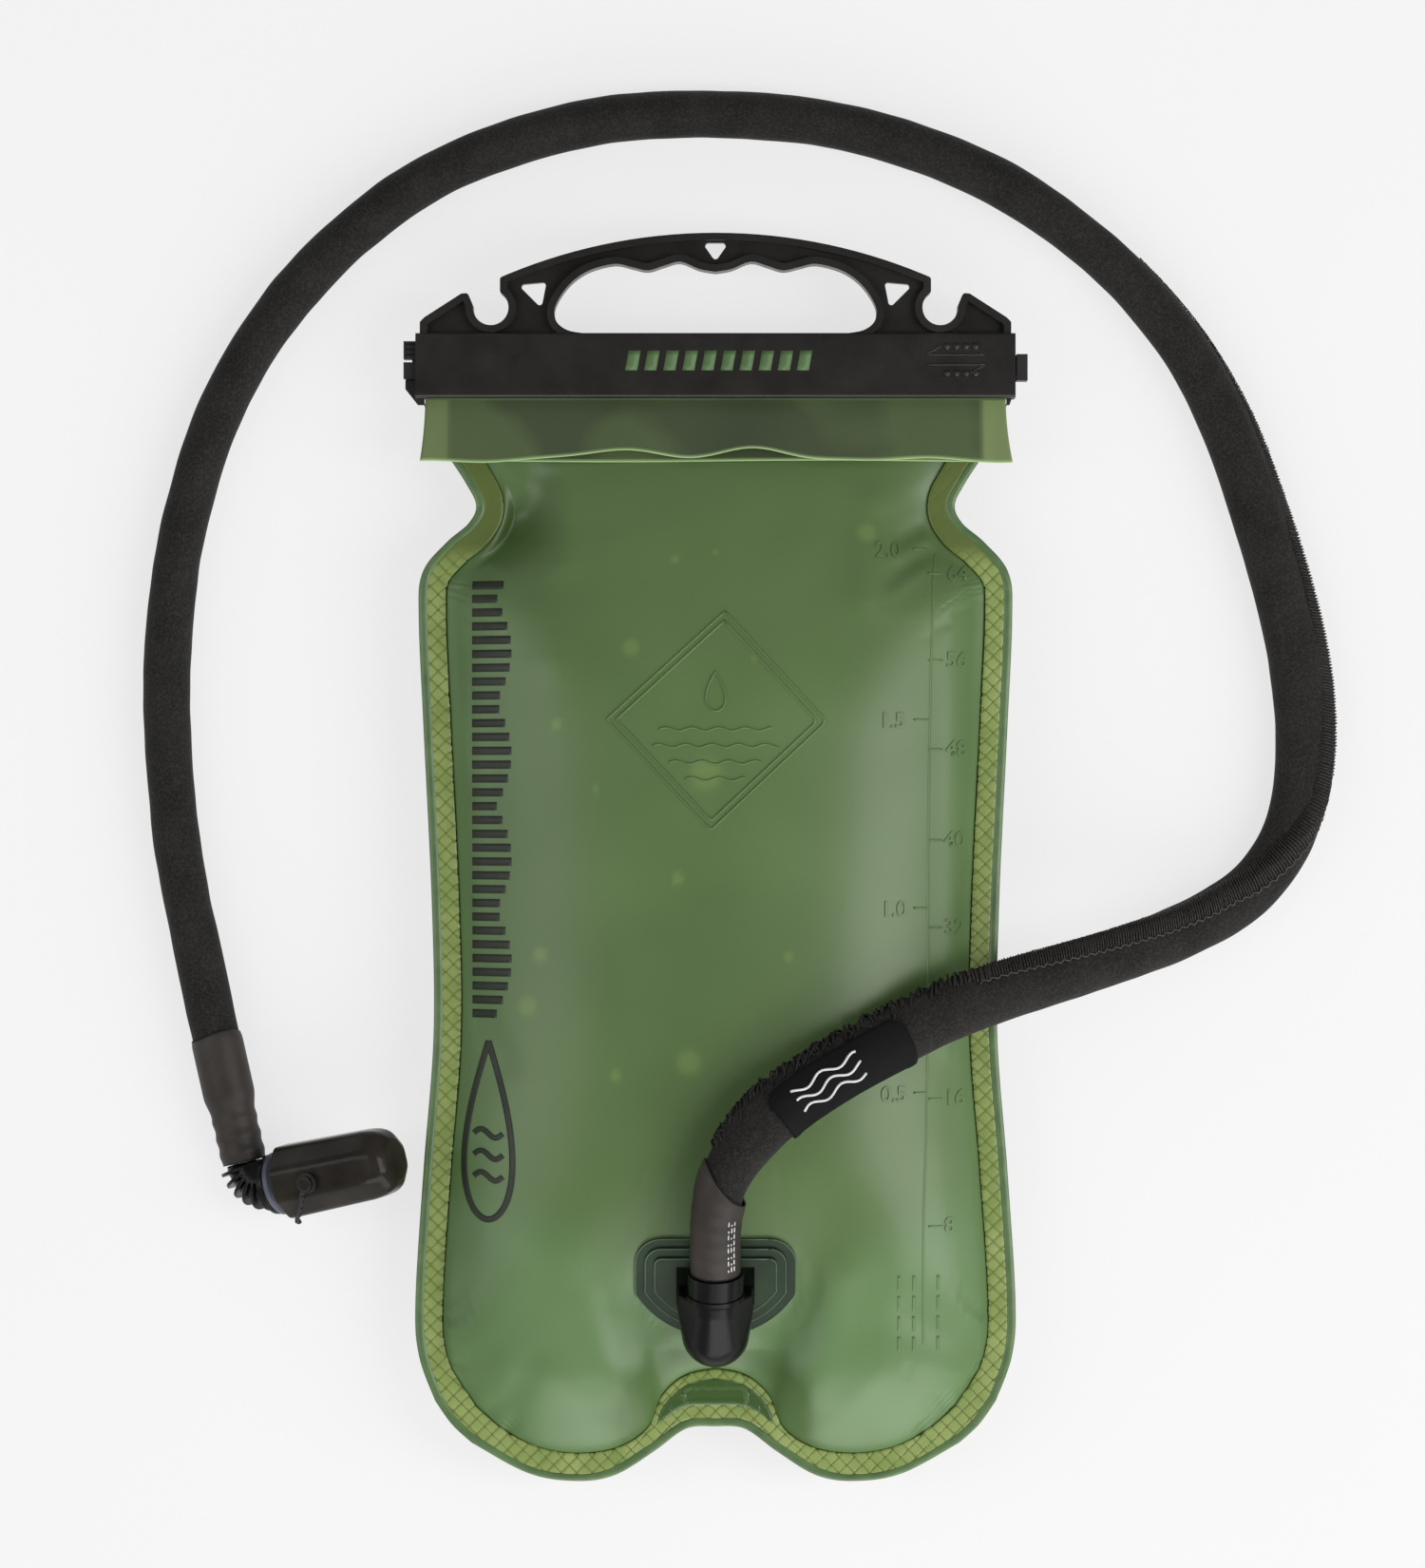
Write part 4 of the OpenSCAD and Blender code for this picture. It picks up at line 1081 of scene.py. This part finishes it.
def make_tail(name, replaces, r, lift, sway, cut):
    """A film's tail beyond the bag, folded over; sway and cut shape its free edge."""
    path = tail_path(r, lift)
    x = np.linspace(-MOUTH_HALF, MOUTH_HALF, 240)[None]
    y, z = path[:, :1], path[:, 1:]
    on_flap = (np.arange(len(path)) > 90)[:, None] & (y < BAR_Y0 - 0.5)
    out = np.where(on_flap, (BAR_Y0 - y) / (BAR_Y0 - FLAP_Y), 0.0)
    ends = smooth((np.abs(x) - 84) / 5)
    everywhere = np.ones((len(path), x.size))
    grid = np.dstack([x + np.sign(x) * ends * out ** 2 * (1.4 + 0.5 * (x > 0)),
                      y + out * cut(x),
                      z + out ** 1.6 * (sway(x) + 0.5 * cut(x)) + 1.1 * ends * out])
    obj, ids = thick_sheet(name, grid[::-1], 0.35, film_mat)
    looks = {"flap": out > 0,
             "edge": np.clip(1 - (1 - out) * (BAR_Y0 - FLAP_Y), 0, 1),
             "rimline": groove(np.abs(x) - (MOUTH_HALF - 7.3), 0.5) * (out > 0),
             "pale": smooth((np.abs(x) - 80.2) / 1.2) * (0.55 + 0.45 * (x > 0))}
    for key, values in looks.items():
        set_values(obj, key, (values * everywhere)[::-1].ravel()[ids])
    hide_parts(replaces)
    return obj


front_tail = make_tail("front_film_tail", "front_film", 1.5, 0.0,
                       lambda x: 0.35 * np.sin(x / 17.0) + 0.2 * np.sin(x / 7.3 + 1),
                       lambda x: 0.25 + 0.25 * np.sin(x / 21.0))
back_tail = make_tail("back_film_tail", "back_film", 2.6, 1.1,
                      lambda x: 0.7 + 0.6 * np.sin(x / 13.0 + 0.6),
                      lambda x: 3.4 * groove(x + 30, 19.0) + 3.9 * groove(x - 12.5, 15.0)
                      + 1.2 * groove(x - 60, 12.0) + 0.3 * np.sin(x / 5.0))

# ---------------------------------------------------------------- prints and embossing
film_top = BVHTree.FromPolygons(front.reshape(-1, 3).tolist(), grid_faces(*front.shape[:2]))


def on_film(x, y):
    """Height of the front film, or of the seam beside it."""
    hit = film_top.ray_cast(Vector((float(x), float(y), 90.0)), Vector((0.0, 0.0, -1.0)))[0]
    return hit.z if hit else SEAM_Z


def on_lock(x, y):
    """Height of the slide lock's flat top."""
    return 27.2


def stamp(batch, grid, height, rise, sink=0.15, crown=0.0):
    """One closed patch on a surface; grid holds its plan points, rows x cols x 2."""
    rows, cols = grid.shape[:2]
    flat = grid.reshape(-1, 2)
    base = np.array([height(x, y) for x, y in flat])
    across = np.tile(np.linspace(-1, 1, cols), rows)
    top = np.column_stack([flat, base + rise + crown * (1 - across ** 2)])
    low = np.column_stack([flat, base - sink])
    batch.add(*closed_sheet(top, low, rows, cols)[:2])


def bar(x0, x1, y0, y1, pitch=1.5, slant=0.0):
    """Plan grid of an upright or slanting bar."""
    x = np.linspace(x0, x1, max(2, int(abs(x1 - x0) / pitch) + 1))
    y = np.linspace(y0, y1, max(2, int(abs(y1 - y0) / pitch) + 1))
    gx, gy = np.meshgrid(x, y)
    return np.dstack([gx + slant * (gy - y0), gy])


def stroke(path, width):
    """Plan grid of a line of that width along a path of plan points."""
    path = np.asarray(path, float)
    d = unit(np.gradient(path, axis=0))
    side = np.stack([-d[:, 1], d[:, 0]], -1)
    across = np.linspace(-width / 2, width / 2, 5)
    return path[:, None] + across[None, :, None] * side[:, None]


def emboss(batch, path, width, crown, height=on_film):
    """A raised line with a rounded top."""
    stamp(batch, stroke(path, width), height, 0.0, crown=crown)


def drop_outline(cx, cy, half_w, half_h, count=72):
    """A drop with its point up, as a closed path."""
    a = np.linspace(0, 2 * math.pi, count)
    taper = np.sin(a / 2) ** 1.15
    return np.column_stack([cx + half_w * 1.12 * np.sin(a) * taper, cy + half_h * np.cos(a)])


def wavy(x0, x1, y, rise, turns, count=30):
    """A level wave, as a path."""
    x = np.linspace(x0, x1, count)
    return np.column_stack([x, y + rise * np.sin((x - x0) / (x1 - x0) * 2 * math.pi * turns)])


def make_print():
    """Black print up the bag's left side: a column of level bars over a ringed drop."""
    batch = Batch()
    ink = 0.14
    for k in range(32):
        y = -49.0 + 4.2 * k
        reach = 0.62 + 0.38 * abs(math.sin(k * 0.42))
        stamp(batch, bar(-74.0, -74.0 + 12.2 * reach, y, y + 2.5, 0.8), on_film, ink)
    stamp(batch, stroke(drop_outline(-69, -83, 9.0, 27.0), 1.9), on_film, ink)
    for k in range(3):
        stamp(batch, stroke(wavy(-73.5, -64.5, -97 + 6.5 * k, 1.3, 1), 1.7), on_film, ink)
    return batch.piece("side_print", ink_mat, "film")


def emboss_text(batch, text, x, y):
    """Raised figures from the built-in typeface, following the film."""
    data = bpy.data.curves.new("figures", "FONT")
    data.body = text
    data.size = 6.6
    data.extrude = 0.28
    data.bevel_depth = 0.1
    data.resolution_u = 3
    obj = put("figures", data)
    shape = obj.evaluated_get(bpy.context.evaluated_depsgraph_get()).to_mesh()
    places = [(v.co.x + x, v.co.y + y, v.co.z) for v in shape.vertices]
    faces = [list(f.vertices) for f in shape.polygons]
    bpy.data.objects.remove(obj)
    batch.add([(a, b, on_film(a, b) + c) for a, b, c in places], faces)


def make_emboss():
    """Raised diamond with a drop and waves, and the raised volume scale."""
    batch = Batch()
    corners = np.array([(2.9, 74.2), (33.4, 40.9), (-1.5, 8.1), (-32.8, 41.5), (2.9, 74.2)])
    centre = corners[:4].mean(axis=0)
    for shrink in (1.0, 0.915):
        emboss(batch, resample(centre + (corners - centre) * shrink, 90), 0.9, 0.42)
    emboss(batch, drop_outline(0, 50, 3.6, 6.0, 40), 0.7, 0.45)
    for y, half in ((38.5, 17.0), (33.5, 19.0), (28.5, 14.0), (23.5, 9.0)):
        emboss(batch, wavy(-half, half, y, 0.5, half / 4, 80), 0.7, 0.4)
    scale_line = [(67, 92), (66, 80), (65, 40), (64.5, 0), (64.5, -40), (64, -80), (63, -112),
                  (63, -148)]
    emboss(batch, curve_at(scale_line, np.linspace(0, 7, 160)), 0.8, 0.2)
    ticks = [(64.5, 69, y) for y in (86, 59.5, 32.5, 5, -21.5, -47.5, -73.5, -112)]
    ticks += [(60, 64.5, y) for y in (93.5, 41.5, -15.5, -71.5)]
    for x0, x1, y in ticks:
        emboss(batch, resample([(x0, y), (x1, y)], 5), 0.7, 0.22)
    for x in (55.5, 60.0, 67.5):
        for y in (-150 + 6.2 * k for k in range(4)):
            emboss(batch, resample([(x, y), (x, y + 4.6)], 6), 1.0, 0.28)
    litres = (("2.0", 48.5, 91), ("1.5", 49.5, 39), ("1.0", 50, -18), ("0.5", 50, -74))
    ounces = (("64", 70.5, 84), ("56", 70, 57.5), ("48", 70, 30.5), ("40", 69.5, 3),
              ("32", 69.5, -23.5), ("24", 69.5, -49.5), ("16", 69.5, -75.5), ("8", 69.5, -114))
    for figures in litres + ounces:
        emboss_text(batch, *figures)
    obj = batch.piece("raised_scale", film_mat, "film")
    # the raised scale takes the same painted light at the bag's side
    set_values(obj, "flank_light", film_flank_light(np.array(batch.verts)))
    return obj


def make_lock_marks():
    """Green slanted bars on the slide lock, and its raised open and close arrows."""
    green = Batch()
    for k in range(10):
        x = -27.5 + 5.8 * k
        stamp(green, bar(x, x + 3.7, 147.8, 153.8, slant=0.18), on_lock, 0.06)
    raised = Batch()
    for y, head, lean in ((152.6, 64.0, 1), (149.6, 82.0, -1)):
        tip, barb, tail = (head, y), (head + lean * 4.5, y + lean * 2.6), (head + lean * 18.0, y)
        for line in ((barb, tip), (tip, tail)):
            emboss(raised, resample(line, 12), 0.7, 0.22, on_lock)
    for k in range(4):
        for y in (154.2, 146.0):
            x = 69.5 + 2.9 * k
            stamp(raised, bar(x, x + 1.9, y, y + 1.9), on_lock, 0.16)
    green.piece("lock_stripes", green_ink_mat, "lock_plastic", "lock")
    raised.piece("lock_arrows", lock_mat, "lock_plastic", "lock")


side_print = make_print()
raised_scale = make_emboss()
make_lock_marks()

# ---------------------------------------------------------------- painted highlights on the edges of the port's steps
def flange_outline(inset):
    """The flange's rounded D in its own plane, drawn in by inset."""
    half, disc, disc_y = 24.35 - inset, 28.0 - inset, 11.8
    corner, corner_x, corner_y = 8.0 - inset, 16.35, 8.2
    end = math.acos(half / disc)
    quarter = np.linspace(0, math.pi / 2, 9)
    right = [(corner_x + corner * math.cos(a), corner_y + corner * math.sin(a)) for a in quarter[::-1]]
    bottom = [(disc * math.cos(a), disc_y + disc * math.sin(a))
              for a in np.linspace(-end, end - math.pi, 41)]
    left = [(-x, y) for x, y in right[::-1]]
    return right + bottom + left + [(x, corner_y + corner) for x in np.linspace(-12, 16, 8)]


def make_port_steps():
    """Thin pale tubes along the edges of the flange's three steps, a painted highlight, which run
    right round the port.
    """
    batch = Batch()
    for step in range(3):
        rise = 0.8 * (step + 1)
        path = [(x, PORT_AT[1] + y * math.cos(PORT_TILT) - rise * math.sin(PORT_TILT),
                 PORT_AT[2] + y * math.sin(PORT_TILT) + rise * math.cos(PORT_TILT))
                for x, y in flange_outline(2.9 * step + 0.15)]
        batch.add(*tube_between(path, 0.2, 5))
    batch.piece("port_step_edge_highlights", port_edge_highlight_mat, "port_green")


make_port_steps()

# ---------------------------------------------------------------- light and floor
def area_light(name, place, size_x, size_y, power):
    """A soft box that shines at the middle of the floor."""
    data = bpy.data.lights.new(name, "AREA")
    data.shape = "RECTANGLE"
    data.size, data.size_y = size_x, size_y
    data.energy = power
    obj = put(name, data)
    obj.location = place
    obj.rotation_euler = (-Vector(place)).to_track_quat("-Z", "Y").to_euler()


def make_light():
    """A grey studio sky, darker overhead, and three soft boxes."""
    world = bpy.data.worlds.new("studio")
    world.use_nodes = True
    tree = world.node_tree
    background = tree.nodes["Background"]
    height = tree.nodes.new("ShaderNodeSeparateXYZ")
    sky = tree.nodes.new("ShaderNodeValToRGB")
    stops = sky.color_ramp.elements
    stops[0].position, stops[0].color = 0.0, (0.7, 0.7, 0.7, 1)
    stops[1].position, stops[1].color = 0.99, (0.06, 0.06, 0.06, 1)
    stops.new(0.8).color = (0.9, 0.9, 0.9, 1)
    stops.new(0.93).color = (0.25, 0.25, 0.25, 1)
    tree.links.new(tree.nodes.new("ShaderNodeTexCoord").outputs["Generated"], height.inputs[0])
    tree.links.new(height.outputs["Z"], sky.inputs["Fac"])
    tree.links.new(sky.outputs["Color"], background.inputs["Color"])
    background.inputs["Strength"].default_value = 0.5
    bpy.context.scene.world = world
    area_light("softbox_left", (-1.05, 0.0, 1.05), 0.5, 1.4, 5)
    area_light("softbox_right", (1.05, -0.1, 1.05), 0.5, 1.4, 12)
    area_light("softbox_near", (0.4, -1.6, 0.8), 2.2, 1.2, 27)
    bpy.context.scene.view_settings.view_transform = "Standard"


def make_floor():
    """The pale floor, which glows a little so that it stays near white."""
    m = Shader("pale_floor", roughness=0.9, specular_ior_level=0.0, emission_strength=0.76)
    m.sockets["Emission Color"].default_value = (0.93, 0.93, 0.93, 1)
    m.colour(m.ramp(m.noise(400, 2), (120, 120, 120), (126, 126, 126), 0.2, 0.8))
    reach = 6
    me = bpy.data.meshes.new("floor")
    me.from_pydata([(-reach, -reach, 0), (reach, -reach, 0), (reach, reach, 0), (-reach, reach, 0)],
                   [], [(0, 1, 2, 3)])
    me.materials.append(m.mat)
    put("floor", me)


make_light()
make_floor()
